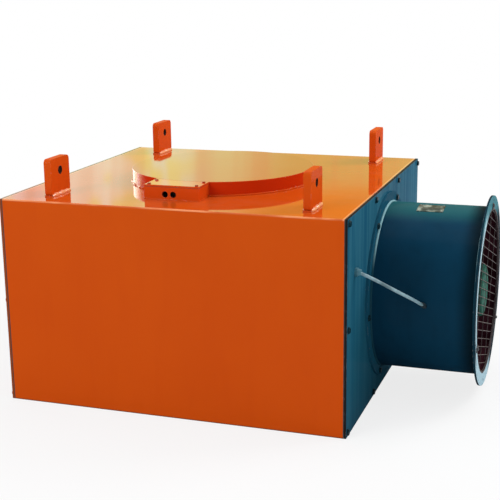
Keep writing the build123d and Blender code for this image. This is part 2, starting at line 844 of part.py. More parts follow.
# Bush where the lead enters the duct wall, leaning along the lead
wall_run_start = Vector(*lead_route[len(outside_points) - 1])
lead_way = (Vector(*lead_route[len(outside_points)]) - wall_run_start).normalized()
start_y, start_z = wall_run_start.Y, wall_run_start.Z - fan_axis_height
across = lead_way.Y**2 + lead_way.Z**2
inward = start_y * lead_way.Y + start_z * lead_way.Z
outside = start_y**2 + start_z**2 - duct_outer_radius**2
wall_crossing = (-inward - math.sqrt(inward**2 - across * outside)) / across
bush_start = wall_run_start + lead_way * (wall_crossing - lead_bush_length)
bush_plane = Plane(origin=bush_start, z_dir=lead_way)
bush_reach = lead_bush_length + 3 * duct_wall
with BuildPart() as lead_bush:
    with BuildSketch(bush_plane):
        Circle(lead_bush_radius)
    extrude(amount=bush_reach)
    with BuildSketch(fan_plane(0)):
        Circle(duct_outer_radius + seat_clearance)
    extrude(amount=duct_length, mode=Mode.SUBTRACT)
    with BuildSketch(bush_plane):
        Circle(lead_diameter / 2 + seat_clearance)
    extrude(amount=bush_reach, mode=Mode.SUBTRACT)
lead_bush.part.label = "lead_bush"
export_step(lead_bush.part, "parts/lead_bush.step")

# Gland on the side cover: hexagon, coned nose and a threaded tail through the sheet
gland_plane = Plane(origin=(panel_face, gland_y, gland_z), x_dir=(0, 1, 0), z_dir=(1, 0, 0))
with BuildPart() as lead_gland:
    with BuildSketch(gland_plane):
        RegularPolygon(gland_hex / 2, 6, major_radius=False)
    extrude(amount=gland_hex_height)
    with BuildSketch(gland_plane.offset(gland_hex_height)):
        Circle(gland_hex / 2 - 1)
    extrude(amount=gland_nose, taper=14)
    with BuildSketch(gland_plane):
        Circle(gland_thread_radius)
    extrude(amount=-panel_thickness)
    with BuildSketch(lead_start):
        Circle(lead_diameter / 2 + seat_clearance)
    extrude(amount=2 * gland_nose, mode=Mode.SUBTRACT)
lead_gland.part.label = "lead_gland"
export_step(lead_gland.part, "parts/lead_gland.step")

# Fan duct: rolled tube with a bolting flange welded on each end
outer_hole_places = polar_places(outer_hole_circle, outer_hole_count, outer_hole_first_angle)
guard_screw_places = polar_places(guard_screw_circle, guard_screw_count, guard_screw_first_angle)
outer_flange_back = duct_length - outer_flange_thickness
with BuildPart() as fan_duct:
    with BuildSketch(fan_plane(0)):
        Circle(base_flange_radius)
    extrude(amount=base_flange_thickness)
    with BuildSketch(fan_plane(0)):
        Circle(duct_outer_radius)
    extrude(amount=duct_length)
    with BuildSketch(fan_plane(outer_flange_back)):
        Circle(outer_flange_radius)
    extrude(amount=outer_flange_thickness)
    roots = fan_duct.edges().filter_by(
        lambda edge: edge.geom_type == GeomType.CIRCLE and abs(edge.radius - duct_outer_radius) < 0.01
    )
    chamfer([root for root in roots if panel_face + 1 < root.center().X < duct_end - 1], length=flange_weld)
    with BuildSketch(fan_plane(0)):
        Circle(duct_inner_radius)
    extrude(amount=duct_length, mode=Mode.SUBTRACT)
    drill(
        fan_plane(base_flange_thickness),
        base_bolt_places,
        panel_bolt_size / 2 + bolt_clearance,
        base_flange_thickness,
    )
    drill(fan_plane(duct_length), outer_hole_places, outer_hole_radius, outer_flange_thickness)
    drill(
        fan_plane(duct_length),
        guard_screw_places,
        guard_screw_size / 2 + thread_clearance,
        outer_flange_thickness,
    )
    with BuildSketch(bush_plane):
        Circle(lead_diameter / 2 + seat_clearance)
    extrude(amount=bush_reach, mode=Mode.SUBTRACT)
fan_duct.part.label = "fan_duct"
export_step(fan_duct.part, "parts/fan_duct.step")

duct_bolts = hex_bolts(
    fan_plane(base_flange_thickness),
    base_bolt_places,
    panel_bolt_size,
    base_flange_thickness + panel_thickness,
)
duct_bolts.part.label = "duct_bolts"
export_step(duct_bolts.part, "parts/duct_bolts.step")

# Wire guard: a hoop with three tabs, a close row of straight wires and a few wires across behind
guard_hoop_outer = duct_inner_radius - seat_clearance
guard_hoop_inner = guard_hoop_outer - guard_ring_thickness
wire_span = guard_hoop_outer - guard_ring_thickness / 2
tab_reach = guard_screw_circle + guard_tab_width / 2
with BuildPart() as wire_guard:
    with BuildSketch(fan_plane(duct_length - guard_ring_depth)):
        Circle(guard_hoop_outer)
        Circle(guard_hoop_inner, mode=Mode.SUBTRACT)
    extrude(amount=guard_ring_depth)
    with BuildSketch(fan_plane(duct_length)):
        for index in range(guard_screw_count):
            tab_angle = guard_screw_first_angle + index * 360 / guard_screw_count
            with PolarLocations((tab_reach + guard_hoop_inner) / 2, 1, tab_angle):
                Rectangle(tab_reach - guard_hoop_inner, guard_tab_width)
        with Locations(*guard_screw_places):
            Circle(guard_screw_size / 2 + thread_clearance, mode=Mode.SUBTRACT)
    extrude(amount=guard_tab_thickness)
    for layer, pitch in enumerate((guard_pitch, guard_cross_pitch)):
        depth = duct_length - guard_ring_depth - (layer + 0.5) * guard_wire - (layer + 1) * wire_gap
        wire_angle = math.radians(guard_angle + 90 * layer)
        wire_way = Vector(0, math.cos(wire_angle), math.sin(wire_angle))
        step_way = Vector(0, -math.sin(wire_angle), math.cos(wire_angle))
        wires_each_side = int(wire_span / pitch)
        for index in range(-wires_each_side, wires_each_side + 1):
            offset_across = index * pitch
            half_wire = math.sqrt(wire_span**2 - offset_across**2)
            wire_start = fan_plane(depth).origin + step_way * offset_across - wire_way * half_wire
            with BuildSketch(Plane(origin=wire_start, z_dir=wire_way)):
                Circle(guard_wire / 2)
            extrude(amount=2 * half_wire)
wire_guard.part.label = "wire_guard"
export_step(wire_guard.part, "parts/wire_guard.step")

guard_screws = hex_bolts(
    fan_plane(duct_length + guard_tab_thickness),
    guard_screw_places,
    guard_screw_size,
    guard_tab_thickness + outer_flange_thickness,
)
guard_screws.part.label = "guard_screws"
export_step(guard_screws.part, "parts/guard_screws.step")

# Motor spider: a disc and four edgewise arms welded into the duct
spider_face = motor_start - spider_thickness
spider_bolt_places = polar_places(spider_bolt_circle, spider_arm_count, 0)
arm_inner = motor_fin_radius + spider_arm_gap
arm_outer = duct_inner_radius + duct_wall
with BuildPart() as motor_spider:
    with BuildSketch(fan_plane(spider_face)):
        with PolarLocations((arm_inner + arm_outer) / 2, spider_arm_count, 45):
            Rectangle(arm_outer - arm_inner, spider_arm_thickness)
    extrude(amount=spider_arm_depth)
    with BuildSketch(fan_plane(spider_face)):
        Circle(duct_inner_radius - seat_clearance)
    extrude(amount=spider_arm_depth, mode=Mode.INTERSECT)
    with BuildSketch(fan_plane(spider_face)):
        Circle(spider_disc_radius)
    extrude(amount=spider_thickness)
    drill(fan_plane(motor_start), [(0, 0)], bearing_outer_radius + spider_bearing_gap, spider_thickness)
    drill(
        fan_plane(motor_start),
        spider_bolt_places,
        spider_bolt_size / 2 + bolt_clearance,
        spider_thickness,
    )
motor_spider.part.label = "motor_spider"
export_step(motor_spider.part, "parts/motor_spider.step")

spider_bolts = hex_bolts(
    Plane(
        origin=(panel_face + spider_face, 0, fan_axis_height), x_dir=(0, -1, 0), z_dir=(-1, 0, 0)
    ),
    spider_bolt_places,
    spider_bolt_size,
    spider_thickness + shield_thickness / 2,
)
spider_bolts.part.label = "spider_bolts"
export_step(spider_bolts.part, "parts/spider_bolts.step")

# Motor frame: a finned casting with a flat seat for its terminal box
frame_start = motor_start + shield_thickness
frame_end = frame_start + motor_frame_length
motor_box_plane = Plane(
    origin=(panel_face + motor_box_place, -motor_box_seat, fan_axis_height),
    x_dir=(1, 0, 0),
    z_dir=(0, -1, 0),
)
with BuildPart() as motor_frame:
    with BuildSketch(fan_plane(frame_start)):
        Circle(motor_body_radius)
        with PolarLocations((motor_fin_radius + motor_bore_radius) / 2, motor_fin_count):
            Rectangle(motor_fin_radius - motor_bore_radius, motor_fin_thickness)
    extrude(amount=motor_frame_length)
    with BuildSketch(motor_box_plane):
        Rectangle(motor_box_size, motor_box_size)
    extrude(amount=-motor_box_seat)
    with BuildSketch(fan_plane(frame_start)):
        Circle(motor_bore_radius)
    extrude(amount=motor_frame_length, mode=Mode.SUBTRACT)
motor_frame.part.label = "motor_frame"
export_step(motor_frame.part, "parts/motor_frame.step")

# Terminal box on the front of the motor, with a boss where the lead goes in
lead_tip = Vector(*lead_route[-1])
boss_plane = Plane(origin=lead_tip, z_dir=Vector(*lead_route[-2]) - lead_tip)
with BuildPart() as motor_terminal_box:
    with BuildSketch(motor_box_plane):
        RectangleRounded(motor_box_size, motor_box_size, motor_box_corner)
    extrude(amount=motor_box_depth - motor_box_lid)
    with BuildSketch(motor_box_plane.offset(motor_box_depth - motor_box_lid)):
        RectangleRounded(
            motor_box_size + 2 * motor_box_lip,
            motor_box_size + 2 * motor_box_lip,
            motor_box_corner + motor_box_lip,
        )
    extrude(amount=motor_box_lid)
    with BuildSketch(boss_plane):
        Circle(lead_boss_radius)
    extrude(amount=lead_boss_length)
    with BuildSketch(boss_plane):
        Circle(lead_diameter / 2 + seat_clearance)
    extrude(amount=lead_boss_length, mode=Mode.SUBTRACT)
motor_terminal_box.part.label = "motor_terminal_box"
export_step(motor_terminal_box.part, "parts/motor_terminal_box.step")

with BuildPart() as drive_end_shield:
    with BuildSketch(fan_plane(motor_start)):
        Circle(motor_fin_radius)
        Circle(bearing_outer_radius, mode=Mode.SUBTRACT)
    extrude(amount=shield_thickness)
    drill(
        Plane(
            origin=(panel_face + motor_start, 0, fan_axis_height), x_dir=(0, -1, 0), z_dir=(-1, 0, 0)
        ),
        spider_bolt_places,
        spider_bolt_size / 2 + thread_clearance,
        shield_thickness / 2,
    )
drive_end_shield.part.label = "drive_end_shield"
export_step(drive_end_shield.part, "parts/drive_end_shield.step")

# Outer end shield: a dished casting with the bearing housing in its middle
dome_end = frame_end + shield_dome
section_plane = Plane(
    origin=(panel_face, 0, fan_axis_height), x_dir=(1, 0, 0), z_dir=(0, -1, 0)
)
fan_axis = Axis((panel_face, 0, fan_axis_height), (1, 0, 0))
with BuildPart() as outer_end_shield:
    with BuildSketch(section_plane):
        with BuildLine():
            Polyline(
                (dome_end, 0),
                (frame_end + shield_recess, 0),
                (frame_end + shield_recess, motor_bore_radius - shield_spigot),
                (frame_end, motor_bore_radius),
                (frame_end, motor_fin_radius),
                (frame_end + shield_rim, motor_fin_radius),
            )
            ThreePointArc(
                (frame_end + shield_rim, motor_fin_radius),
                (frame_end + shield_dome * 0.6, motor_fin_radius * 0.82),
                (frame_end + shield_dome * 0.8, motor_fin_radius * 0.5),
            )
            Polyline(
                (frame_end + shield_dome * 0.8, motor_fin_radius * 0.5),
                (dome_end, motor_fin_radius * 0.46),
                (dome_end, 0),
            )
        make_face()
    revolve(axis=fan_axis)
    drill(
        fan_plane(frame_end + bearing_width + shield_recess),
        [(0, 0)],
        bearing_outer_radius,
        bearing_width + shield_recess,
    )
outer_end_shield.part.label = "outer_end_shield"
export_step(outer_end_shield.part, "parts/outer_end_shield.step")

# Ball bearings, one in each end shield
bearing_starts = {"drive_end_bearing": motor_start, "outer_end_bearing": frame_end + shield_recess}
for bearing_name, bearing_start in bearing_starts.items():
    with BuildPart() as bearing:
        with BuildSketch(fan_plane(bearing_start)):
            Circle(bearing_outer_radius)
            Circle(shaft_seat_radius + running_clearance, mode=Mode.SUBTRACT)
        extrude(amount=bearing_width)
    bearing.part.label = bearing_name
    export_step(bearing.part, f"parts/{bearing_name}.step")

# Stator: the laminated ring with its windings standing out at both ends
stator_start = frame_start + (motor_frame_length - stator_length) / 2
with BuildPart() as motor_stator:
    with BuildSketch(fan_plane(stator_start)):
        Circle(motor_bore_radius)
        Circle(stator_inner_radius, mode=Mode.SUBTRACT)
    extrude(amount=stator_length)
    with BuildSketch(fan_plane(stator_start - winding)):
        Circle(motor_bore_radius - winding / 2)
        Circle(stator_inner_radius + winding / 2, mode=Mode.SUBTRACT)
    extrude(amount=stator_length + 2 * winding)
motor_stator.part.label = "motor_stator"
export_step(motor_stator.part, "parts/motor_stator.step")

# Rotor core, pressed on the shaft
with BuildPart() as motor_rotor:
    with BuildSketch(fan_plane(stator_start)):
        Circle(stator_inner_radius - air_gap)
        Circle(shaft_radius, mode=Mode.SUBTRACT)
    extrude(amount=stator_length)
motor_rotor.part.label = "motor_rotor"
export_step(motor_rotor.part, "parts/motor_rotor.step")

# Shaft: thick in the rotor, stepped down in the bearings and the hub
hub_back = spider_face - hub_to_spider
hub_front = hub_back - hub_length
shaft_tip = hub_front - impeller_washer - impeller_nut_height - shaft_nose
with BuildPart() as motor_shaft:
    with BuildSketch(fan_plane(shaft_tip)):
        Circle(shaft_seat_radius)
    extrude(amount=frame_end + shield_recess + bearing_width - shaft_tip)
    with BuildSketch(fan_plane(motor_start + bearing_width + shaft_shoulder_gap)):
        Circle(shaft_radius)
    shoulder_end = frame_end + shield_recess - shaft_shoulder_gap
    extrude(amount=shoulder_end - motor_start - bearing_width - shaft_shoulder_gap)
    chamfer(motor_shaft.faces().sort_by(Axis.X)[0].edges(), length=1.5)
motor_shaft.part.label = "motor_shaft"
export_step(motor_shaft.part, "parts/motor_shaft.step")

# Impeller: a cast hub with twisted blades, its open side towards the motor
hub_middle = (hub_front + hub_back) / 2
tip_radius = duct_inner_radius - blade_tip_gap
root_radius = hub_radius - hub_wall / 2


def blade_section(radius):
    """Cambered blade section at one radius, its chord turned by the pitch there."""
    share = (radius - root_radius) / (tip_radius - root_radius)
    chord = blade_root_chord + share * (blade_tip_chord - blade_root_chord)
    pitch = math.radians(blade_root_pitch + share * (blade_tip_pitch - blade_root_pitch))
    section = Plane(
        origin=(0, radius, 0),
        x_dir=(math.cos(pitch), 0, math.sin(pitch)),
        z_dir=(0, 1, 0),
    )
    with BuildSketch(section) as outline:
        with BuildLine():
            ThreePointArc(
                (-chord / 2, -blade_edge / 2),
                (0, blade_camber - blade_thickness / 2),
                (chord / 2, -blade_edge / 2),
            )
            Line((chord / 2, -blade_edge / 2), (chord / 2, blade_edge / 2))
            ThreePointArc(
                (chord / 2, blade_edge / 2),
                (0, blade_camber + blade_thickness / 2),
                (-chord / 2, blade_edge / 2),
            )
            Line((-chord / 2, blade_edge / 2), (-chord / 2, -blade_edge / 2))
        make_face()
    return outline.sketch


with BuildPart() as blade:
    sections = [
        blade_section(radius)
        for radius in (root_radius, (root_radius + tip_radius) / 2, tip_radius + 2)
    ]
    loft(sections)
    Cylinder(tip_radius, 4 * hub_length, mode=Mode.INTERSECT)

with BuildPart(fan_plane(hub_middle)) as fan_impeller:
    with BuildSketch(fan_plane(hub_front)):
        Circle(hub_radius)
    extrude(amount=hub_length)
    with BuildSketch(fan_plane(hub_front + hub_wall)):
        Circle(hub_radius - hub_wall)
    extrude(amount=hub_length - hub_wall, mode=Mode.SUBTRACT)
    with BuildSketch(fan_plane(hub_front)):
        Circle(hub_boss_radius)
    extrude(amount=hub_boss_length)
    with PolarLocations(0, blade_count):
        add(blade.part)
    drill(fan_plane(hub_back), [(0, 0)], shaft_seat_radius, hub_length)
fan_impeller.part.label = "fan_impeller"
export_step(fan_impeller.part, "parts/fan_impeller.step")

with BuildPart() as impeller_nut:
    with BuildSketch(fan_plane(hub_front - impeller_washer)):
        Circle(1.7 * shaft_seat_radius)
        Circle(shaft_seat_radius + thread_clearance, mode=Mode.SUBTRACT)
    extrude(amount=impeller_washer)
    with BuildSketch(fan_plane(hub_front - impeller_washer - impeller_nut_height)):
        RegularPolygon(1.5 * shaft_seat_radius, 6, major_radius=False)
        Circle(shaft_seat_radius + thread_clearance, mode=Mode.SUBTRACT)
    extrude(amount=impeller_nut_height)
impeller_nut.part.label = "impeller_nut"
export_step(impeller_nut.part, "parts/impeller_nut.step")

# Rating plate, curved to the duct and left bare, with four rivets
plate_half_turn = math.degrees(plate_width / 2 / duct_outer_radius)
plate_foot = duct_outer_radius + seat_clearance
plate_start = plate_centre - plate_length / 2
with BuildPart() as rating_plate:
    with BuildSketch(fan_plane(plate_start)):
        with BuildLine():
            inner_arc = CenterArc((0, 0), plate_foot, plate_angle - plate_half_turn, 2 * plate_half_turn)
            outer_arc = CenterArc(
                (0, 0), plate_foot + plate_thickness, plate_angle - plate_half_turn, 2 * plate_half_turn
            )
            Line(inner_arc @ 0, outer_arc @ 0)
            Line(inner_arc @ 1, outer_arc @ 1)
        make_face()
    extrude(amount=plate_length)
rating_plate.part.label = "rating_plate"
export_step(rating_plate.part, "parts/rating_plate.step")

with BuildPart() as plate_rivets:
    for along in (-1, 1):
        for around in (-1, 1):
            rivet_angle = math.radians(plate_angle + around * plate_half_turn * 0.8)
            rivet_x = panel_face + plate_centre + along * (plate_length / 2 - rivet_inset)
            rivet_foot = plate_foot + plate_thickness
            outward = Vector(0, math.cos(rivet_angle), math.sin(rivet_angle))
            rivet_place = Vector(rivet_x, 0, fan_axis_height) + outward * rivet_foot
            with BuildSketch(Plane(origin=rivet_place, z_dir=outward)):
                Circle(rivet_radius)
            extrude(amount=rivet_height)
plate_rivets.part.label = "plate_rivets"
export_step(plate_rivets.part, "parts/plate_rivets.step")
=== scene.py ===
import math
import random

import bpy
from mathutils import Matrix, Vector


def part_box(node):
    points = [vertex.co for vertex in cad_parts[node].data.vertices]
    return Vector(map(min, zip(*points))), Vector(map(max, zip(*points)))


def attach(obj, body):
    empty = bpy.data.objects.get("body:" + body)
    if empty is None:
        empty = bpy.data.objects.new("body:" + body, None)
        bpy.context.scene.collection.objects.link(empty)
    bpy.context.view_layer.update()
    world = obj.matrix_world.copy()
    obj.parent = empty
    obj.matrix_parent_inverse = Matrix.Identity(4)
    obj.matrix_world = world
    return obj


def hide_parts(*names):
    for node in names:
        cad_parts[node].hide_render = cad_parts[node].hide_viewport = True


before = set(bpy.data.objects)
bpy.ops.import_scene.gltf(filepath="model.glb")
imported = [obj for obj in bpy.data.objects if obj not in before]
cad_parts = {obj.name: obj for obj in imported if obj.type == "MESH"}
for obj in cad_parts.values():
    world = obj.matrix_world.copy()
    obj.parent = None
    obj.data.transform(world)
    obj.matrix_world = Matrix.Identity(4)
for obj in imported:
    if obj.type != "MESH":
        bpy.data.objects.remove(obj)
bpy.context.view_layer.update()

# The studio: a pale floor that runs out of sight, a white surround, and soft lamps as a
# photographer hangs them round a machine. The wall behind is cream by a bright window on
# the left and golden to the right, and the glossy top plate mirrors it.
STAND_POINT = Vector((1.3021, -3.5413, 1.3613))
STAND_TURN = math.radians(18.98)
STAND_DIP = math.radians(14.19)
STAND_LEAN = math.radians(-0.76)
LENS = 80.91
WALL_SHADES = (
    (-0.52, (1.28, 1.30, 1.26, 1)),
    (-0.49, (1.18, 1.02, 0.85, 1)),
    (-0.45, (1.08, 1.38, 1.06, 1)),
    (-0.40, (0.95, 1.40, 0.95, 1)),
    (-0.34, (0.80, 1.05, 0.45, 1)),
    (-0.28, (0.66, 0.76, 0.22, 1)),
    (-0.20, (0.62, 0.78, 0.24, 1)),
)
SUNLIT_PATCH, PATCH_SIDE = (1.05, 1.30, 0.20, 1), (-0.34, -0.40)
CURTAIN_FOLD = (0.80, 0.50, 0.20, 1)
WALL_ABOVE, ABOVE_RISE, ABOVE_SIDE = (0.88, 0.42, 0.05, 1), (0.180, 0.206), (-0.38, -0.28)
CEILING, CEILING_RISE = (0.8, 0.8, 0.8, 1), (0.25, 0.6)
WALL_BEHIND, BEHIND_SIDE = (0.62, 0.64, 0.66, 1), (-0.1, 0.3)
WINDOW_GLOW = 5.5
WINDOW_LEFT = (-0.55, -0.66)
WINDOW_NEAR = (-0.1, 0.2)
WINDOW_TOP = (0.45, 0.3)
SOFT_LIGHT = (0.96, 0.98, 1.0, 1)
SOFT_STRENGTH = 0.62
WHITE = (1, 1, 1, 1)
PAPER = (0.8, 0.8, 0.8, 1)
PAPER_REACH = 30.0
PAPER_DROP = 0.0005
PAPER_FADE = (0.9, 3.2, 0.80, 1.0)
KEY_PLACE, KEY_TARGET, KEY_WIDTH, KEY_POWER = (-2.4, -4.2, 3.4), (0, 0, 0.4), 2.6, 105
TOP_PLACE, TOP_TARGET, TOP_WIDTH, TOP_POWER = (0.3, 0.6, 4.2), (0, 0, 0.6), 3.0, 38
SIDE_PLACE, SIDE_TARGET, SIDE_WIDTH, SIDE_POWER = (3.4, 2.0, 3.2), (0.6, 0, 0.4), 2.0, 110


def put(tree, kind, inputs=None, **settings):
    """A shader node with its settings and its inputs, each a constant or another node's socket."""
    made = tree.nodes.new(kind)
    for key, value in settings.items():
        setattr(made, key, value)
    for key, value in (inputs or {}).items():
        if isinstance(value, bpy.types.NodeSocket):
            tree.links.new(value, made.inputs[key])
        else:
            made.inputs[key].default_value = value
    return made


def calc(tree, operation, first, second=0.0, third=0.0):
    """A Math node's output."""
    return put(tree, "ShaderNodeMath", {0: first, 1: second, 2: third}, operation=operation).outputs[0]


def band(tree, value, low, high, bottom=0.0, top=1.0):
    """A value eased from bottom to top while the input goes from low to high."""
    inputs = {"Value": value, "From Min": low, "From Max": high, "To Min": bottom, "To Max": top}
    made = put(tree, "ShaderNodeMapRange", inputs, interpolation_type="SMOOTHSTEP")
    return made.outputs["Result"]


def blend_colours(tree, share, first, second):
    """Colour mixed from first to second. The Mix node's colour sockets are its 6th and 7th."""
    made = tree.nodes.new("ShaderNodeMix")
    made.data_type = "RGBA"
    for key, value in ((0, share), (6, first), (7, second)):
        if isinstance(value, bpy.types.NodeSocket):
            tree.links.new(value, made.inputs[key])
        else:
            made.inputs[key].default_value = value
    return made.outputs[2]


def here(tree):
    """The place on the piece, in metres of the object's own frame."""
    return tree.nodes.new("ShaderNodeTexCoord").outputs["Object"]


def axes(tree, vector):
    """A vector's X, Y and Z sockets, by name."""
    return put(tree, "ShaderNodeSeparateXYZ", {0: vector}).outputs


def reach_of(tree, vector):
    """A vector's length."""
    return put(tree, "ShaderNodeVectorMath", {0: vector}, operation="LENGTH").outputs["Value"]


def studio_surround():
    world = bpy.data.worlds.new("studio_surround")
    bpy.context.scene.world = world
    world.use_nodes = True
    tree = world.node_tree
    tree.nodes.clear()
    rays = tree.nodes.new("ShaderNodeLightPath")
    way = axes(tree, tree.nodes.new("ShaderNodeTexCoord").outputs["Generated"])
    low_wall = WALL_SHADES[0][1]
    for (start, _), (end, shade) in zip(WALL_SHADES, WALL_SHADES[1:]):
        low_wall = blend_colours(tree, band(tree, way["X"], start, end), low_wall, shade)
    clouds = put(tree, "ShaderNodeTexNoise", {"Scale": 48.0, "Detail": 1.0})
    patches = band(tree, clouds.outputs[0], 0.5, 0.62, 0.0, 0.7)
    patches = calc(tree, "MULTIPLY", patches, band(tree, way["X"], *PATCH_SIDE))
    low_wall = blend_colours(tree, patches, low_wall, SUNLIT_PATCH)
    folds = put(
        tree,
        "ShaderNodeTexNoise",
        {"W": way["X"], "Scale": 30.0, "Detail": 2.0},
        noise_dimensions="1D",
    )
    folded = band(tree, folds.outputs[0], 0.45, 0.62, 0.0, 0.35)
    low_wall = blend_colours(tree, folded, low_wall, CURTAIN_FOLD)
    rise = calc(tree, "MULTIPLY", band(tree, way["Z"], *ABOVE_RISE), band(tree, way["X"], *ABOVE_SIDE))
    low_wall = blend_colours(tree, rise, low_wall, WALL_ABOVE)
    mirrored = blend_colours(tree, band(tree, way["Z"], *CEILING_RISE), low_wall, CEILING)
    mirrored = blend_colours(tree, band(tree, way["Y"], *BEHIND_SIDE), WALL_BEHIND, mirrored)
    window = calc(tree, "MULTIPLY", band(tree, way["X"], *WINDOW_LEFT), band(tree, way["Y"], *WINDOW_NEAR))
    window = calc(tree, "MULTIPLY", window, band(tree, way["Z"], *WINDOW_TOP))
    glow = calc(tree, "MULTIPLY_ADD", window, WINDOW_GLOW - 1.0, 1.0)
    mirror = put(tree, "ShaderNodeBackground", {"Color": mirrored, "Strength": glow})
    soft = put(tree, "ShaderNodeBackground", {"Color": SOFT_LIGHT, "Strength": SOFT_STRENGTH})
    white = put(tree, "ShaderNodeBackground", {"Color": WHITE, "Strength": 1.0})
    lit = put(
        tree,
        "ShaderNodeMixShader",
        {0: rays.outputs["Is Glossy Ray"], 1: soft.outputs[0], 2: mirror.outputs[0]},
    )
    seen = put(
        tree,
        "ShaderNodeMixShader",
        {0: rays.outputs["Is Camera Ray"], 1: lit.outputs[0], 2: white.outputs[0]},
    )
    put(tree, "ShaderNodeOutputWorld", {"Surface": seen.outputs[0]})


def studio_floor():
    mesh = bpy.data.meshes.new("studio_floor")
    corners = [(PAPER_REACH * x, PAPER_REACH * y, 0) for x, y in ((-1, -1), (1, -1), (1, 1), (-1, 1))]
    mesh.from_pydata(corners, [], [(0, 1, 2, 3)])
    floor = bpy.data.objects.new("studio_floor", mesh)
    floor.location.z = -PAPER_DROP
    bpy.context.scene.collection.objects.link(floor)
    material = bpy.data.materials.new("studio_paper")
    material.use_nodes = True
    tree = material.node_tree
    tree.nodes.clear()
    rays = tree.nodes.new("ShaderNodeLightPath")
    paper = put(tree, "ShaderNodeBsdfDiffuse", {"Color": PAPER})
    bright = put(tree, "ShaderNodeEmission", {"Color": WHITE, "Strength": 1.0})
    far = band(tree, reach_of(tree, here(tree)), *PAPER_FADE)
    share = calc(tree, "MULTIPLY", rays.outputs["Is Camera Ray"], far)
    mixed = put(tree, "ShaderNodeMixShader", {0: share, 1: paper.outputs[0], 2: bright.outputs[0]})
    put(tree, "ShaderNodeOutputMaterial", {"Surface": mixed.outputs[0]})
    mesh.materials.append(material)


def soft_lamp(name, place, target, width, power):
    data = bpy.data.lights.new(name, "AREA")
    data.size = width
    data.energy = power
    lamp = bpy.data.objects.new(name, data)
    lamp.location = place
    lamp.rotation_euler = (Vector(target) - Vector(place)).to_track_quat("-Z", "Y").to_euler()
    bpy.context.scene.collection.objects.link(lamp)


def studio_camera():
    data = bpy.data.cameras.new("studio_camera")
    data.lens = LENS
    data.sensor_width = 36.0
    camera = bpy.data.objects.new("studio_camera", data)
    camera.matrix_world = (
        Matrix.Translation(STAND_POINT)
        @ Matrix.Rotation(STAND_TURN, 4, "Z")
        @ Matrix.Rotation(math.pi / 2 - STAND_DIP, 4, "X")
        @ Matrix.Rotation(STAND_LEAN, 4, "Z")
    )
    bpy.context.scene.collection.objects.link(camera)
    bpy.context.scene.camera = camera


studio_surround()
studio_floor()
soft_lamp("key_lamp", KEY_PLACE, KEY_TARGET, KEY_WIDTH, KEY_POWER)
soft_lamp("top_lamp", TOP_PLACE, TOP_TARGET, TOP_WIDTH, TOP_POWER)
soft_lamp("side_lamp", SIDE_PLACE, SIDE_TARGET, SIDE_WIDTH, SIDE_POWER)
studio_camera()
bpy.context.scene.view_settings.view_transform = "Standard"

# The magnet case: pole plates, top plate and end frames of mild steel, welded, ground
# and sprayed with orange machine enamel. The enamel is thick and glossy, with a fine
# orange peel, and thins to bare steel only on the sharpest edges.
ORANGE = (0.60, 0.080, 0.005, 1)
ORANGE_DEEP = (0.52, 0.055, 0.004, 1)
# The pale colour below is a painted highlight along the top plate's edges.
EDGE_HIGHLIGHT = (0.93, 0.36, 0.16, 1)
# The dark colour below is a painted shade along the foot of the case.
FOOT_SHADE = (0.10, 0.035, 0.012, 1)
STEEL = (0.42, 0.42, 0.41, 1)
DUST = (0.52, 0.46, 0.38, 1)
COAT_ROUGHNESS = 0.05
COAT_IOR = 1.7
PEEL_DEPTH = 0.0006


def effect(name, inputs, outputs):
    """An empty node group with named sockets: (group, its input node, its output node)."""
    group = bpy.data.node_groups.new(name, "ShaderNodeTree")
    for label, kind, value in inputs:
        socket = group.interface.new_socket(label, in_out="INPUT", socket_type=kind)
        socket.default_value = value
    for label, kind in outputs:
        group.interface.new_socket(label, in_out="OUTPUT", socket_type=kind)
    return group, group.nodes.new("NodeGroupInput"), group.nodes.new("NodeGroupOutput")


def noise(tree, place, scale, detail, roughness=0.5):
    """A cloudy value that changes over the surface, about 0.5 on average."""
    inputs = {"Vector": place, "Scale": scale, "Detail": detail, "Roughness": roughness}
    return put(tree, "ShaderNodeTexNoise", inputs).outputs[0]


def facing(tree):
    """The way that the surface faces, as its X, Y and Z sockets."""
    return axes(tree, tree.nodes.new("ShaderNodeNewGeometry").outputs["Normal"])


def make_paint_film():
    """Sprayed enamel: broad shade changes, fine orange peel and slightly uneven gloss."""
    group, given, made = effect(
        "paint_film",
        [
            ("Colour", "NodeSocketColor", ORANGE),
            ("Thin Colour", "NodeSocketColor", ORANGE_DEEP),
            ("Unevenness", "NodeSocketFloat", 0.35),
            ("Patch Scale", "NodeSocketFloat", 2.5),
            ("Peel Scale", "NodeSocketFloat", 420.0),
            ("Sheen", "NodeSocketFloat", 0.3),
        ],
        [("Colour", "NodeSocketColor"), ("Roughness", "NodeSocketFloat"), ("Height", "NodeSocketFloat")],
    )
    place = here(group)
    patches = noise(group, place, given.outputs["Patch Scale"], 4.0)
    drawn = put(group, "ShaderNodeMapping", {"Vector": place, "Scale": (9.0, 9.0, 1.2)})
    streaks = noise(group, drawn.outputs[0], 3.0, 3.0)
    streaked = band(group, streaks, 0.45, 0.75, 0, 0.3)
    share = calc(group, "ADD", band(group, patches, 0.35, 0.7, 0, 0.7), streaked)
    share = calc(group, "MULTIPLY", share, given.outputs["Unevenness"])
    colour = blend_colours(group, share, given.outputs["Colour"], given.outputs["Thin Colour"])
    peel = noise(group, place, given.outputs["Peel Scale"], 2.0)
    sags = noise(group, place, 34.0, 1.0)
    height = calc(group, "MULTIPLY_ADD", sags, 1.6, peel)
    gloss = calc(group, "MULTIPLY_ADD", patches, 0.12, given.outputs["Sheen"])
    group.links.new(colour, made.inputs["Colour"])
    group.links.new(gloss, made.inputs["Roughness"])
    group.links.new(height, made.inputs["Height"])
    return group


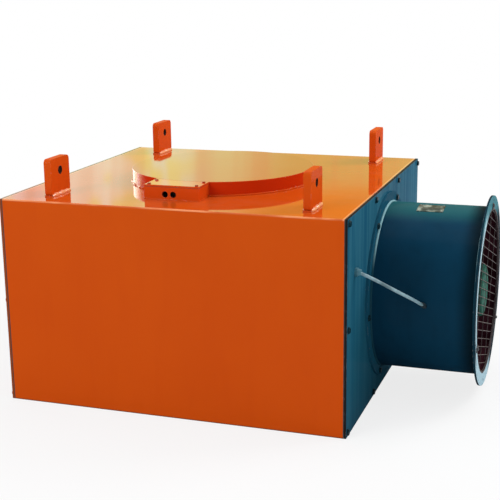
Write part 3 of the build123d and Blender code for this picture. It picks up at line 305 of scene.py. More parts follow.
def make_rubbed_edges():
    """A mask of the sharp edges, broken up as handling wears them."""
    group, given, made = effect(
        "rubbed_edges",
        [("Reach", "NodeSocketFloat", 0.003), ("Strength", "NodeSocketFloat", 1.0)],
        [("Mask", "NodeSocketFloat")],
    )
    rounded = put(group, "ShaderNodeBevel", {"Radius": given.outputs["Reach"]}, samples=4)
    flat = group.nodes.new("ShaderNodeNewGeometry").outputs["Normal"]
    alike = put(
        group, "ShaderNodeVectorMath", {0: rounded.outputs[0], 1: flat}, operation="DOT_PRODUCT"
    ).outputs["Value"]
    edge = band(group, calc(group, "SUBTRACT", 1.0, alike), 0.06, 0.3)
    broken = noise(group, here(group), 55.0, 5.0)
    rubbed = calc(group, "MULTIPLY", edge, band(group, broken, 0.52, 0.64))
    mask = calc(group, "MULTIPLY", rubbed, given.outputs["Strength"])
    group.links.new(mask, made.inputs["Mask"])
    return group


def make_settled_dust():
    """A mask of thin dust on faces that look up."""
    group, given, made = effect(
        "settled_dust", [("Amount", "NodeSocketFloat", 0.1)], [("Mask", "NodeSocketFloat")]
    )
    clouds = noise(group, here(group), 6.0, 7.0, 0.65)
    level = band(group, facing(group)["Z"], 0.5, 0.95)
    lying = calc(group, "MULTIPLY", level, band(group, clouds, 0.4, 0.75))
    group.links.new(calc(group, "MULTIPLY", lying, given.outputs["Amount"]), made.inputs["Mask"])
    return group


paint_film = make_paint_film()
rubbed_edges = make_rubbed_edges()
settled_dust = make_settled_dust()


def blank_material(name):
    material = bpy.data.materials.new(name)
    material.use_nodes = True
    return material, material.node_tree, material.node_tree.nodes["Principled BSDF"]


def bump(tree, shader, height, strength, distance):
    made = put(tree, "ShaderNodeBump", {"Strength": strength, "Distance": distance, "Height": height})
    tree.links.new(made.outputs[0], shader.inputs["Normal"])


def gloss_coat(tree, shader, weight, grazing):
    """Clear gloss over paint, stronger where it is seen along the surface."""
    slant = put(tree, "ShaderNodeLayerWeight", {"Blend": 0.35}).outputs["Facing"]
    shown = band(tree, slant, 0.35, 0.64, weight, grazing)
    tree.links.new(shown, shader.inputs["Coat Weight"])
    shader.inputs["Coat Roughness"].default_value = COAT_ROUGHNESS
    shader.inputs["Coat IOR"].default_value = COAT_IOR


def lay(tree, laid, colour, share):
    """One more colour over a colour and its mask: (colour, mask)."""
    under = calc(tree, "MULTIPLY", laid[1], calc(tree, "SUBTRACT", 1.0, share))
    mask = calc(tree, "ADD", under, share)
    return blend_colours(tree, calc(tree, "DIVIDE", share, mask), laid[0], colour), mask


def enamel(
    name,
    colour,
    thin,
    sheen=0.2,
    uneven=0.35,
    patch=2.5,
    wear=0.5,
    dust=0.05,
    coat=0.03,
    grazing=1.0,
    split=None,
):
    """Machine enamel under a gloss coat, which alone shines.

    split gives a second colour and its mask, such as primer inside a duct.
    """
    material, tree, shader = blank_material(name)
    film = put(
        tree,
        "ShaderNodeGroup",
        {"Colour": colour, "Thin Colour": thin, "Unevenness": uneven, "Patch Scale": patch, "Sheen": sheen},
        node_tree=paint_film,
    )
    worn = put(tree, "ShaderNodeGroup", {"Strength": wear}, node_tree=rubbed_edges)
    dusty = put(tree, "ShaderNodeGroup", {"Amount": dust}, node_tree=settled_dust)
    shade = film.outputs["Colour"]
    gloss = film.outputs["Roughness"]
    if split:
        second, mask = split(tree)
        shade = blend_colours(tree, mask, shade, second)
    shade = blend_colours(tree, worn.outputs["Mask"], shade, STEEL)
    shade = blend_colours(tree, dusty.outputs["Mask"], shade, DUST)
    gloss = calc(tree, "MULTIPLY_ADD", dusty.outputs["Mask"], 0.5, gloss)
    tree.links.new(shade, shader.inputs["Base Color"])
    tree.links.new(gloss, shader.inputs["Roughness"])
    tree.links.new(calc(tree, "MULTIPLY", worn.outputs["Mask"], 0.8), shader.inputs["Metallic"])
    gloss_coat(tree, shader, coat, grazing)
    shader.inputs["Specular IOR Level"].default_value = 0.0
    shader.inputs["Specular Tint"].default_value = (0.25, 0.1, 0.05, 1)
    bump(tree, shader, film.outputs["Height"], 0.12, PEEL_DEPTH)
    return material


def dress(material, *names):
    """Gives CAD nodes their finish."""
    for name in names:
        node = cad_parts[name]
        node.data.materials.clear()
        node.data.materials.append(material)


FOOT_SHADE_HEIGHT = 0.004
CASE_EDGE = 0.004
case_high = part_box("yoke_case")[1]


def case_marks(tree):
    """Painted shade along the foot of the case, and a painted highlight along the top plate's side and
    front edges.
    """
    place = axes(tree, here(tree))
    # Painted shade, darkest at the floor and gone a few millimetres up.
    foot = band(tree, place["Z"], FOOT_SHADE_HEIGHT, FOOT_SHADE_HEIGHT * 0.3, 0.0, 0.9)
    # A painted highlight in a thin band near the top plate's side and front edges, broken up along the
    # front.
    height = band(tree, place["Z"], case_high.z - CASE_EDGE * 1.4, case_high.z - CASE_EDGE * 0.8)
    to_side = calc(tree, "ABSOLUTE", place["X"])
    to_front = calc(tree, "ABSOLUTE", place["Y"])
    side = band(tree, to_side, case_high.x - CASE_EDGE * 1.8, case_high.x - CASE_EDGE)
    front = band(tree, to_front, case_high.y - CASE_EDGE * 1.8, case_high.y - CASE_EDGE)
    highlight_breaks = noise(tree, here(tree), 5.0, 3.0)
    front = calc(tree, "MULTIPLY", front, band(tree, highlight_breaks, 0.42, 0.6, 0.25, 1.0))
    edge = calc(tree, "MULTIPLY", height, calc(tree, "MAXIMUM", side, front))
    edge = calc(tree, "MULTIPLY", edge, 0.8)
    return lay(tree, (EDGE_HIGHLIGHT, edge), FOOT_SHADE, foot)


case_enamel = enamel("case_enamel", ORANGE, ORANGE_DEEP, wear=0.25, split=case_marks)
dress(case_enamel, "yoke_case")

# The working face: a plate of non-magnetic stainless steel, drawn up between the pole
# plates by countersunk screws. It faces down, mill finished, and is never painted.
STAINLESS = (0.55, 0.54, 0.52, 1)
STAINLESS_STAIN = (0.3, 0.28, 0.25, 1)
PLAIN_STEEL = (0.4, 0.4, 0.4, 1)
PLAIN_STEEL_STAIN = (0.12, 0.1, 0.09, 1)
LINE_DEPTH = 0.0004


def make_mill_finish():
    """Rolled or turned bare metal: fine lines one way, cloudy stains and small scratches."""
    group, given, made = effect(
        "mill_finish",
        [
            ("Colour", "NodeSocketColor", STEEL),
            ("Stain", "NodeSocketColor", (0.2, 0.19, 0.18, 1)),
            ("Line Stretch", "NodeSocketVector", (2.0, 300.0, 300.0)),
            ("Stain Scale", "NodeSocketFloat", 8.0),
            ("Stain Share", "NodeSocketFloat", 0.35),
            ("Sheen", "NodeSocketFloat", 0.3),
        ],
        [("Colour", "NodeSocketColor"), ("Roughness", "NodeSocketFloat"), ("Height", "NodeSocketFloat")],
    )
    place = here(group)
    stretch = {0: place, 1: given.outputs["Line Stretch"]}
    drawn = put(group, "ShaderNodeVectorMath", stretch, operation="MULTIPLY")
    lines = noise(group, drawn.outputs[0], 1.0, 3.0)
    stains = noise(group, place, given.outputs["Stain Scale"], 6.0, 0.6)
    share = calc(group, "MULTIPLY", band(group, stains, 0.42, 0.72), given.outputs["Stain Share"])
    colour = blend_colours(group, share, given.outputs["Colour"], given.outputs["Stain"])
    gloss = calc(group, "MULTIPLY_ADD", lines, 0.16, given.outputs["Sheen"])
    gloss = calc(group, "MULTIPLY_ADD", share, 0.3, gloss)
    group.links.new(colour, made.inputs["Colour"])
    group.links.new(gloss, made.inputs["Roughness"])
    group.links.new(lines, made.inputs["Height"])
    return group


mill_finish = make_mill_finish()


def bare_metal(name, colour, stain, stretch=(2.0, 300.0, 300.0), sheen=0.3, stained=0.35, scale=8.0):
    """Unpainted metal. stretch packs the drawn lines across X, Y and Z, and scale sizes the stains."""
    material, tree, shader = blank_material(name)
    finish = put(
        tree,
        "ShaderNodeGroup",
        {
            "Colour": colour,
            "Stain": stain,
            "Line Stretch": stretch,
            "Sheen": sheen,
            "Stain Share": stained,
            "Stain Scale": scale,
        },
        node_tree=mill_finish,
    )
    tree.links.new(finish.outputs["Colour"], shader.inputs["Base Color"])
    tree.links.new(finish.outputs["Roughness"], shader.inputs["Roughness"])
    shader.inputs["Metallic"].default_value = 1.0
    bump(tree, shader, finish.outputs["Height"], 0.1, LINE_DEPTH)
    return material


dress(bare_metal("rolled_stainless", STAINLESS, STAINLESS_STAIN), "bottom_plate")
dress(bare_metal("plain_screw_steel", PLAIN_STEEL, PLAIN_STEEL_STAIN, scale=60.0), "bottom_screws")

# The magnetic parts inside: a forged core bolted up to the top plate, with a wider pole
# shoe under it, held by cap screws. The iron is left as machined, under a film of oil.
OILED_IRON = (0.13, 0.125, 0.12, 1)
IRON_PIT = (0.05, 0.045, 0.04, 1)
BLACK_BOLT = (0.09, 0.09, 0.095, 1)
BOLT_RUST = (0.16, 0.09, 0.05, 1)
GRAIN_DEPTH = 0.0005


def make_cast_skin():
    """Sand-cast or sawn iron: coarse grain with darker pits."""
    group, given, made = effect(
        "cast_skin",
        [
            ("Colour", "NodeSocketColor", OILED_IRON),
            ("Pit Colour", "NodeSocketColor", IRON_PIT),
            ("Grain Scale", "NodeSocketFloat", 260.0),
            ("Sheen", "NodeSocketFloat", 0.5),
        ],
        [("Colour", "NodeSocketColor"), ("Roughness", "NodeSocketFloat"), ("Height", "NodeSocketFloat")],
    )
    place = here(group)
    grain = noise(group, place, given.outputs["Grain Scale"], 4.0)
    pits = put(group, "ShaderNodeTexVoronoi", {"Vector": place, "Scale": given.outputs["Grain Scale"]})
    share = band(group, pits.outputs["Distance"], 0.28, 0.05)
    colour = blend_colours(group, share, given.outputs["Colour"], given.outputs["Pit Colour"])
    gloss = calc(group, "MULTIPLY_ADD", grain, 0.2, given.outputs["Sheen"])
    height = calc(group, "SUBTRACT", grain, calc(group, "MULTIPLY", share, 0.6))
    group.links.new(colour, made.inputs["Colour"])
    group.links.new(gloss, made.inputs["Roughness"])
    group.links.new(height, made.inputs["Height"])
    return group


cast_skin = make_cast_skin()


def casting(name, colour, pit_colour, metallic, grain=260.0, sheen=0.45):
    material, tree, shader = blank_material(name)
    skin = put(
        tree,
        "ShaderNodeGroup",
        {"Colour": colour, "Pit Colour": pit_colour, "Grain Scale": grain, "Sheen": sheen},
        node_tree=cast_skin,
    )
    worn = put(tree, "ShaderNodeGroup", {"Strength": 0.6, "Reach": 0.002}, node_tree=rubbed_edges)
    shade = blend_colours(tree, worn.outputs["Mask"], skin.outputs["Colour"], STEEL)
    tree.links.new(shade, shader.inputs["Base Color"])
    tree.links.new(skin.outputs["Roughness"], shader.inputs["Roughness"])
    shader.inputs["Metallic"].default_value = metallic
    bump(tree, shader, skin.outputs["Height"], 0.3, GRAIN_DEPTH)
    return material


core_iron = casting("oiled_core_iron", OILED_IRON, IRON_PIT, 0.9)
black_bolt = bare_metal("black_bolt_steel", BLACK_BOLT, BOLT_RUST, scale=40.0)
dress(core_iron, "centre_core", "pole_shoe", "coil_carrier")
dress(black_bolt, "core_bolts", "shoe_screws", "tie_rods", "tie_rod_nuts")

# The coils: flat spirals of aluminium strip with paper between the turns, bound with
# glass tape and dipped in varnish. Blocks of laminated board keep air gaps between them,
# and a sleeve and a board of the same stuff keep them off the iron.
VARNISHED_TAPE = (0.48, 0.36, 0.18, 1)
VARNISH_POOL = (0.24, 0.13, 0.05, 1)
LAP_SHADOW = (0.1, 0.05, 0.02, 1)
TAPE_LAPS = 110.0
TAPE_DEPTH = 0.0008
BOARD = (0.42, 0.27, 0.1, 1)
BOARD_GRAIN = (0.3, 0.16, 0.05, 1)
BOARD_DEPTH = 0.0003


def wound_tape():
    material, tree, shader = blank_material("varnished_coil_tape")
    place = here(tree)
    parts = axes(tree, place)
    angle = calc(tree, "ARCTAN2", parts["Y"], parts["X"])
    laps = calc(tree, "SINE", calc(tree, "MULTIPLY", angle, TAPE_LAPS))
    weave = noise(tree, place, 700.0, 2.0)
    pools = noise(tree, place, 14.0, 4.0)
    shade = blend_colours(tree, band(tree, pools, 0.35, 0.7), VARNISHED_TAPE, VARNISH_POOL)
    shade = blend_colours(tree, band(tree, laps, 0.86, 1.0, 0.0, 0.5), shade, LAP_SHADOW)
    tree.links.new(shade, shader.inputs["Base Color"])
    tree.links.new(band(tree, pools, 0.3, 0.7, 0.28, 0.5), shader.inputs["Roughness"])
    bump(tree, shader, calc(tree, "MULTIPLY_ADD", laps, 0.5, weave), 0.4, TAPE_DEPTH)
    return material


def laminated_board():
    material, tree, shader = blank_material("laminated_board")
    layers = put(tree, "ShaderNodeMapping", {"Vector": here(tree), "Scale": (18.0, 18.0, 900.0)})
    grain = noise(tree, layers.outputs[0], 1.0, 4.0)
    shade = blend_colours(tree, band(tree, grain, 0.35, 0.65), BOARD, BOARD_GRAIN)
    tree.links.new(shade, shader.inputs["Base Color"])
    tree.links.new(band(tree, grain, 0.3, 0.7, 0.4, 0.6), shader.inputs["Roughness"])
    bump(tree, shader, grain, 0.2, BOARD_DEPTH)
    return material


dress(wound_tape(), *[f"pancake_coil_{index}" for index in range(1, 5)])
dress(laminated_board(), "coil_spacers", "core_sleeve", "insulation_board")

# The lifting lugs: four thick plates flame cut from bar, stood on the top plate near its
# corners and welded all round. Shackle pins rub the holes bare.
LUG_HOLE_FRONT = -0.4055
LUG_HOLE_BACK = 0.4435
LUG_HOLE_HEIGHT = 0.742
LUG_HOLE_RADIUS = 0.013
LUG_WELD = 0.008
LUG_STITCHES = 3
LUG_RIPPLE = 0.0065
LUG_END_WELD = 0.0035
LUG_WELD_INSET = 0.002
BEAD_SIDES = 8
BEAD_SEAT = 0.35
LUG_ORANGE = (0.64, 0.080, 0.006, 1)
HOLE_BORE_DARK = (0.07, 0.035, 0.025, 1)
# The two pale bead colours below are a painted highlight on the welds along the lugs' broad faces.
LUG_BEAD_HIGHLIGHT = (0.90, 0.34, 0.17, 1)
LUG_BEAD_HIGHLIGHT_THIN = (0.80, 0.20, 0.06, 1)
BEAD_RED = (0.60, 0.062, 0.006, 1)


def walk(points, step, closed):
    """Points at an even step along a run of points."""
    if closed:
        points = points + points[:1]
    length = sum((b - a).length for a, b in zip(points, points[1:]))
    count = max(2, round(length / step))
    spacing = length / count
    walked = []
    travelled, target = 0.0, 0.0
    for a, b in zip(points, points[1:]):
        run = (b - a).length
        while run > 0 and target <= travelled + run + 1e-9 and len(walked) < count + (0 if closed else 1):
            walked.append(a.lerp(b, (target - travelled) / run))
            target += spacing
        travelled += run
    return walked


def new_piece(name, vertices, faces, material, smooth=True):
    """A mesh piece that rides on the magnet."""
    mesh = bpy.data.meshes.new(name)
    mesh.from_pydata([tuple(vertex) for vertex in vertices], [], faces)
    mesh.materials.append(material)
    mesh.validate()
    for polygon in mesh.polygons:
        polygon.use_smooth = smooth
    piece = bpy.data.objects.new(name, mesh)
    bpy.context.scene.collection.objects.link(piece)
    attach(piece, "magnet")
    return piece


def add_bead(vertices, faces, points, closed, width, ripple, draw, stitches=0):
    """A weld bead: a rope of overlapping ripples along a run of points, or a few short stitches."""
    points = walk(points, ripple / 3, closed)
    count = len(points)
    first = len(vertices)
    for index, point in enumerate(points):
        before = points[index - 1] if closed or index else point
        after = points[(index + 1) % count] if closed or index + 1 < count else point
        along = (after - before).normalized()
        side = along.cross(Vector((0, 0, 1)))
        side = side.normalized() if side.length > 1e-6 else Vector((1, 0, 0))
        lift = side.cross(along)
        phase = (index % 3) / 3
        swell = width * (0.84 + 0.16 * math.sin(math.pi * (0.25 + 0.75 * phase))) * draw.uniform(0.95, 1.05)
        if not closed:
            swell *= 0.55 + 0.45 * min(1.0, 3.0 * min(index, count - 1 - index) / count + 0.1)
        if stitches:
            swell *= 0.72 + 0.38 * abs(math.sin(math.pi * stitches * index / (count - 1)))
        for corner in range(BEAD_SIDES):
            angle = 2 * math.pi * corner / BEAD_SIDES
            reach = side * math.cos(angle) + lift * math.sin(angle)
            vertices.append(point + reach * swell)
    for index in range(count if closed else count - 1):
        for corner in range(BEAD_SIDES):
            a = first + index * BEAD_SIDES + corner
            b = first + index * BEAD_SIDES + (corner + 1) % BEAD_SIDES
            c = first + ((index + 1) % count) * BEAD_SIDES + (corner + 1) % BEAD_SIDES
            d = first + ((index + 1) % count) * BEAD_SIDES + corner
            faces.append((a, b, c, d))
    if not closed:
        last = first + (count - 1) * BEAD_SIDES
        faces.append(tuple(first + corner for corner in range(BEAD_SIDES)))
        faces.append(tuple(last + corner for corner in reversed(range(BEAD_SIDES))))


def lug_hole_bore(tree):
    """Dark brown in the bore of each lug's hole."""
    place = axes(tree, here(tree))
    to_front = calc(tree, "ABSOLUTE", calc(tree, "SUBTRACT", place["Y"], LUG_HOLE_FRONT))
    to_back = calc(tree, "ABSOLUTE", calc(tree, "SUBTRACT", place["Y"], LUG_HOLE_BACK))
    across = calc(tree, "MINIMUM", to_front, to_back)
    above = calc(tree, "SUBTRACT", place["Z"], LUG_HOLE_HEIGHT)
    away = put(tree, "ShaderNodeCombineXYZ", {0: across, 1: above})
    radius = reach_of(tree, away.outputs[0])
    return HOLE_BORE_DARK, band(tree, radius, LUG_HOLE_RADIUS + 0.001, LUG_HOLE_RADIUS + 0.0002)


lug_enamel = enamel("lug_enamel", LUG_ORANGE, ORANGE_DEEP, wear=0.45, grazing=0.12, split=lug_hole_bore)
# The beads along the lugs' broad faces carry a painted highlight in their colour.
lug_weld_highlight_enamel = enamel("lug_weld_highlight_enamel", LUG_BEAD_HIGHLIGHT, LUG_BEAD_HIGHLIGHT_THIN, sheen=0.16, wear=0.0, coat=1.0)
weld_enamel = enamel("weld_enamel", BEAD_RED, ORANGE, wear=0.0, coat=0.1, grazing=0.6)
draw = random.Random(4)
for across in ("left", "right"):
    for along in ("front", "back"):
        lug = f"lifting_lug_{along}_{across}"
        dress(lug_enamel, lug)
        low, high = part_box(lug)
        vertices, faces = [], []
        weld_height = low.z + LUG_WELD * BEAD_SEAT
        for x in (low.x, high.x):
            run = [Vector((x, y, weld_height)) for y in (low.y + LUG_WELD_INSET, high.y - LUG_WELD_INSET)]
            add_bead(vertices, faces, run, False, LUG_WELD, LUG_RIPPLE, draw, stitches=LUG_STITCHES)
        weld = new_piece(f"lug_weld_{along}_{across}", vertices, faces, lug_weld_highlight_enamel)
        vertices, faces = [], []
        for y in (low.y, high.y):
            run = [Vector((x, y, low.z + LUG_END_WELD * BEAD_SEAT)) for x in (low.x, high.x)]
            add_bead(vertices, faces, run, False, LUG_END_WELD, LUG_RIPPLE, draw)
        weld = new_piece(f"lug_end_weld_{along}_{across}", vertices, faces, weld_enamel)

# The round cover: a rolled rim and a flat disc over the core bolts, welded to the top
# plate by a hand-laid bead that wanders a little.
COVER_WELD = 0.005
COVER_WANDER = 0.0014
COVER_RIPPLE = 0.008
COVER_WELD_STEPS = 240
LOW_SEAT = 0.3
COVER_RED = (0.58, 0.034, 0.003, 1)
COVER_RED_THIN = (0.50, 0.030, 0.002, 1)


def disc_face(tree):
    """Faces that look up take the top plate's orange; the rim stays a deeper red."""
    return ORANGE_DEEP, band(tree, facing(tree)["Z"], 0.4, 0.8)


dress(enamel("cover_enamel", COVER_RED, COVER_RED_THIN, wear=0.3, split=disc_face), "core_cover")
cover_low, cover_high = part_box("core_cover")
cover_radius = (cover_high.y - cover_low.y) / 2
cover_y = (cover_high.y + cover_low.y) / 2
box_low, box_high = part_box("junction_box")


def rim_front(x):
    """The front of the cover's rim, along Y, at a place along X."""
    return cover_y - math.sqrt(cover_radius**2 - x**2)


def arc_points(centre, radius, start, turn, count):
    """Points along an arc in the XY plane at the centre's height."""
    points = []
    for index in range(count + 1):
        angle = start + turn * index / count
        points.append(centre + Vector((radius * math.cos(angle), radius * math.sin(angle), 0)))
    return points


cover_foot = Vector((0, cover_y, cover_low.z + COVER_WELD * LOW_SEAT))
left_join = math.atan2(rim_front(box_low.x) - cover_y, box_low.x)
right_join = math.atan2(rim_front(box_high.x) - cover_y, box_high.x)
rim_turn = 2 * math.pi - (right_join - left_join)
rim = []
for index, point in enumerate(arc_points(cover_foot, cover_radius, right_join, rim_turn, COVER_WELD_STEPS)):
    drift = COVER_WANDER * (math.sin(index * 0.7) + draw.uniform(-0.5, 0.5))
    rim.append(point + (point - cover_foot).normalized() * drift)
vertices, faces = [], []
add_bead(vertices, faces, rim, False, COVER_WELD, COVER_RIPPLE, draw)
cover_weld = new_piece("core_cover_weld", vertices, faces, weld_enamel)

# The junction box: three walls of folded plate joined to the cover's rim, with tapped
# bosses for the lid. Its two cable holes are drilled, and left without glands.
BOX_ORANGE = (0.66, 0.072, 0.006, 1)
BOX_WELD = 0.0018
BOX_WELD_RISE = 0.036
BOX_WELD_THINNER = 0.8
BOX_RIPPLE = 0.005
BLACK = (0.012, 0.012, 0.012, 1)
RUBBER_DEPTH = 0.0003
dress(enamel("box_enamel", BOX_ORANGE, ORANGE_DEEP, wear=0.35), "junction_box", "junction_lid")
box_foot = box_low.z + BOX_WELD * LOW_SEAT
vertices, faces = [], []
walls = [
    Vector((box_low.x, rim_front(box_low.x), box_foot)),
    Vector((box_low.x, box_low.y, box_foot)),
    Vector((box_high.x, box_low.y, box_foot)),
    Vector((box_high.x, rim_front(box_high.x), box_foot)),
]
add_bead(vertices, faces, walls, False, BOX_WELD, BOX_RIPPLE, draw)
for x in (box_low.x, box_high.x):
    join = Vector((x, rim_front(x), box_foot))
    run = [join, join + Vector((0, 0, BOX_WELD_RISE))]
    add_bead(vertices, faces, run, False, BOX_WELD * BOX_WELD_THINNER, BOX_RIPPLE, draw)
box_weld = new_piece("junction_box_weld", vertices, faces, weld_enamel)


def rubber(name, colour, sheen=0.6):
    """Moulded rubber or plastic with a pale bloom in patches."""
    material, tree, shader = blank_material(name)
    grain = noise(tree, here(tree), 900.0, 3.0)
    bloom = noise(tree, here(tree), 30.0, 3.0)
    pale = tuple(min(1.0, channel * 2.2 + 0.02) for channel in colour[:3]) + (1,)
    shade = blend_colours(tree, band(tree, bloom, 0.4, 0.75, 0, 0.6), colour, pale)
    tree.links.new(shade, shader.inputs["Base Color"])
    tree.links.new(band(tree, bloom, 0.3, 0.7, sheen - 0.1, sheen + 0.15), shader.inputs["Roughness"])
    bump(tree, shader, grain, 0.25, RUBBER_DEPTH)
    return material


dress(rubber("black_rubber", BLACK), "lid_gasket", "fan_side_gasket", "outlet_side_gasket")

# Hexagon bolts: turned heads with a chamfered crown on a plain washer, zinc plated, with
# the shank running down into its tapped hole. Most of them were painted over.
HEX_ACROSS = 1.6
HEAD_HEIGHT = 0.65
WASHER_RADIUS = 1.05
WASHER_THICKNESS = 0.16
WASHER_BEVEL = 0.04
SHANK_RADIUS = 0.5
POINT_RADIUS = 0.42
POINT_LENGTH = 0.08
CROWN = 0.93
CROWN_DROP = 0.14
ROUND = 24
COVER_BOLT = 0.010
SMALL_SCREW = 0.006
ZINC, ZINC_STAIN = (0.62, 0.62, 0.58, 1), (0.38, 0.36, 0.3, 1)
DULL_ZINC, DULL_STAIN = (0.12, 0.13, 0.14, 1), (0.06, 0.06, 0.06, 1)
BOLT_TEAL, BOLT_TEAL_THIN = (0.006, 0.030, 0.042, 1), (0.004, 0.015, 0.022, 1)
BOLT_ORANGE, BOLT_ORANGE_THIN = (0.40, 0.045, 0.01, 1), (0.2, 0.03, 0.01, 1)


def add_ring_stack(vertices, faces, centre, x_way, y_way, z_way, rings):
    """Rings of points joined by faces, closed at both ends: each ring is (height, [radius per point])."""
    first = len(vertices)
    count = len(rings[0][1])
    for height, radii in rings:
        for index, radius in enumerate(radii):
            angle = 2 * math.pi * index / count
            reach = x_way * (radius * math.cos(angle)) + y_way * (radius * math.sin(angle))
            vertices.append(centre + reach + z_way * height)
    for ring in range(len(rings) - 1):
        for index in range(count):
            a = first + ring * count + index
            b = first + ring * count + (index + 1) % count
            faces.append((a, b, b + count, a + count))
    faces.append(tuple(first + index for index in reversed(range(count))))
    top = first + (len(rings) - 1) * count
    faces.append(tuple(top + index for index in range(count)))


def hex_radii(across):
    """Radii of a hexagon's outline at even angles."""
    radii = []
    for index in range(ROUND):
        angle = (360 / ROUND * index + 30) % 60 - 30
        radii.append(across / 2 / math.cos(math.radians(angle)))
    return radii


def loose_bolts(node, way):
    """(seat under the head, shank reach) of each separate bolt in a CAD node."""
    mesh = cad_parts[node].data
    axis = Vector(way)
    links = list(range(len(mesh.vertices)))

    def root(index):
        while links[index] != index:
            links[index] = links[links[index]]
            index = links[index]
        return index

    for edge in mesh.edges:
        a, b = (root(vertex) for vertex in edge.vertices)
        links[a] = b
    same = {}
    for vertex in mesh.vertices:
        key = tuple(round(value, 6) for value in vertex.co)
        if key in same:
            links[root(vertex.index)] = root(same[key])
        same[key] = vertex.index
    groups = {}
    for vertex in mesh.vertices:
        groups.setdefault(root(vertex.index), []).append(vertex.co)
    found = []
    for places in groups.values():
        low = Vector(min(place[i] for place in places) for i in range(3))
        high = Vector(max(place[i] for place in places) for i in range(3))
        centre = (low + high) / 2
        heights = [place.dot(axis) for place in places]
        spread = [(place - centre - axis * (place - centre).dot(axis)).length for place in places]
        widest = max(spread)
        seat = min(height for height, reach in zip(heights, spread) if reach > 0.95 * widest)
        foot = centre + axis * (seat - centre.dot(axis))
        found.append((centre, foot, seat - min(heights)))
    found.sort(key=lambda item: tuple(round(value, 4) for value in item[0]))
    return [item[1:] for item in found]


def bolt_set(name, node, size, way, material, turn_seed):
    """Detailed bolts in the places of a CAD node's bolts, which they replace."""
    turn = random.Random(turn_seed)
    z_way = Vector(way)
    start = z_way.orthogonal().normalized()
    across = size * HEX_ACROSS
    head = size * HEAD_HEIGHT
    drop = across / 2 * CROWN_DROP
    hexagon = hex_radii(across)
    crown = [min(radius, across / 2 * 1.02) for radius in hexagon]
    base = size * WASHER_THICKNESS
    rim = [size * WASHER_RADIUS] * ROUND
    rim_top = [size * (WASHER_RADIUS - WASHER_BEVEL)] * ROUND
    shank = [size * SHANK_RADIUS] * ROUND
    point = [size * POINT_RADIUS] * ROUND
    washer_rings = [(0, rim), (base * 0.7, rim), (base, rim_top)]
    head_rings = [
        (base * 0.5, [radius * 0.99 for radius in hexagon]),
        (head - drop, hexagon),
        (head - drop * 0.45, crown),
        (head, [across / 2 * CROWN] * ROUND),
    ]
    vertices, faces = [], []
    for seat, reach in loose_bolts(node, way):
        x_way = Matrix.Rotation(turn.uniform(0, math.pi / 3), 3, z_way) @ start
        y_way = z_way.cross(x_way)
        shank_rings = [(-reach, point), (-reach + size * POINT_LENGTH, shank), (0, shank)]
        for rings in (washer_rings, head_rings, shank_rings):
            add_ring_stack(vertices, faces, seat, x_way, y_way, z_way, rings)
    piece = new_piece(name, vertices, faces, material, smooth=False)
    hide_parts(node)
    return piece


PLATING_LINES = (60.0, 60.0, 60.0)
zinc = bare_metal("zinc_plated_steel", ZINC, ZINC_STAIN, PLATING_LINES, 0.28, 0.5, 40.0)
dull_zinc = bare_metal("dull_zinc_plating", DULL_ZINC, DULL_STAIN, PLATING_LINES, 0.4, 0.5, 40.0)
panel_bolt = enamel(
    "painted_bolt_steel", BOLT_TEAL, BOLT_TEAL_THIN, sheen=0.25, wear=0.25, coat=0.1, grazing=0.35
)
orange_bolt = enamel("orange_bolt_steel", BOLT_ORANGE, BOLT_ORANGE_THIN, wear=1.0, coat=0.4)
for name, node, size, way, material, slot_name, turn_seed in (
    ("fan_side_hex_bolts", "fan_side_bolts", COVER_BOLT, (1, 0, 0), panel_bolt, "teal_paint", 2),
    ("outlet_side_hex_bolts", "outlet_side_bolts", COVER_BOLT, (-1, 0, 0), orange_bolt, "orange_paint", 3),
    ("duct_hex_bolts", "duct_bolts", COVER_BOLT, (1, 0, 0), panel_bolt, "teal_paint", 4),
    ("louvre_hex_screws", "louvre_screws", SMALL_SCREW, (-1, 0, 0), zinc, "zinc_steel", 5),
    ("guard_hex_screws", "guard_screws", SMALL_SCREW, (1, 0, 0), dull_zinc, "zinc_steel", 6),
    ("lid_hex_screws", "lid_screws", SMALL_SCREW, (0, 0, 1), orange_bolt, "zinc_steel", 7),
):
    bolt_set(name, node, size, way, material, turn_seed)
dress(zinc, "spider_bolts", "terminal_studs", "impeller_nut", "plate_rivets")

# Inside the junction box: a moulded terminal block with plated studs, and a moulded
# bushing that takes the coil leads through the top plate.
MOULDED_BLACK = (0.02, 0.02, 0.022, 1)
dress(rubber("moulded_black_plastic", MOULDED_BLACK, 0.4), "terminal_block", "lead_through_bushing")

# The side covers: sheet steel bolted over the ends of the case on a rubber gasket. The fan
# side's came ready painted in blue-green enamel. The other was sprayed orange with the
# case, and carries the outlet louvre, whose blades are welded into its frame.
TEAL = (0.009, 0.078, 0.145, 1)
TEAL_THIN = (0.014, 0.105, 0.155, 1)
# Pale streaks, partly real streaking and partly a painted light that makes the teal cover paler high up.
TEAL_STREAK_AND_LIGHT = (0.040, 0.165, 0.230, 1)
# The two dark edge colours below are a painted shade on the covers' edges, for the shadowed gap along the
# case.
TEAL_EDGE_SHADE = (0.014, 0.012, 0.012, 1)
ORANGE_EDGE_SHADE = (0.26, 0.055, 0.012, 1)
STREAK_HEIGHTS = (0.25, 0.62)


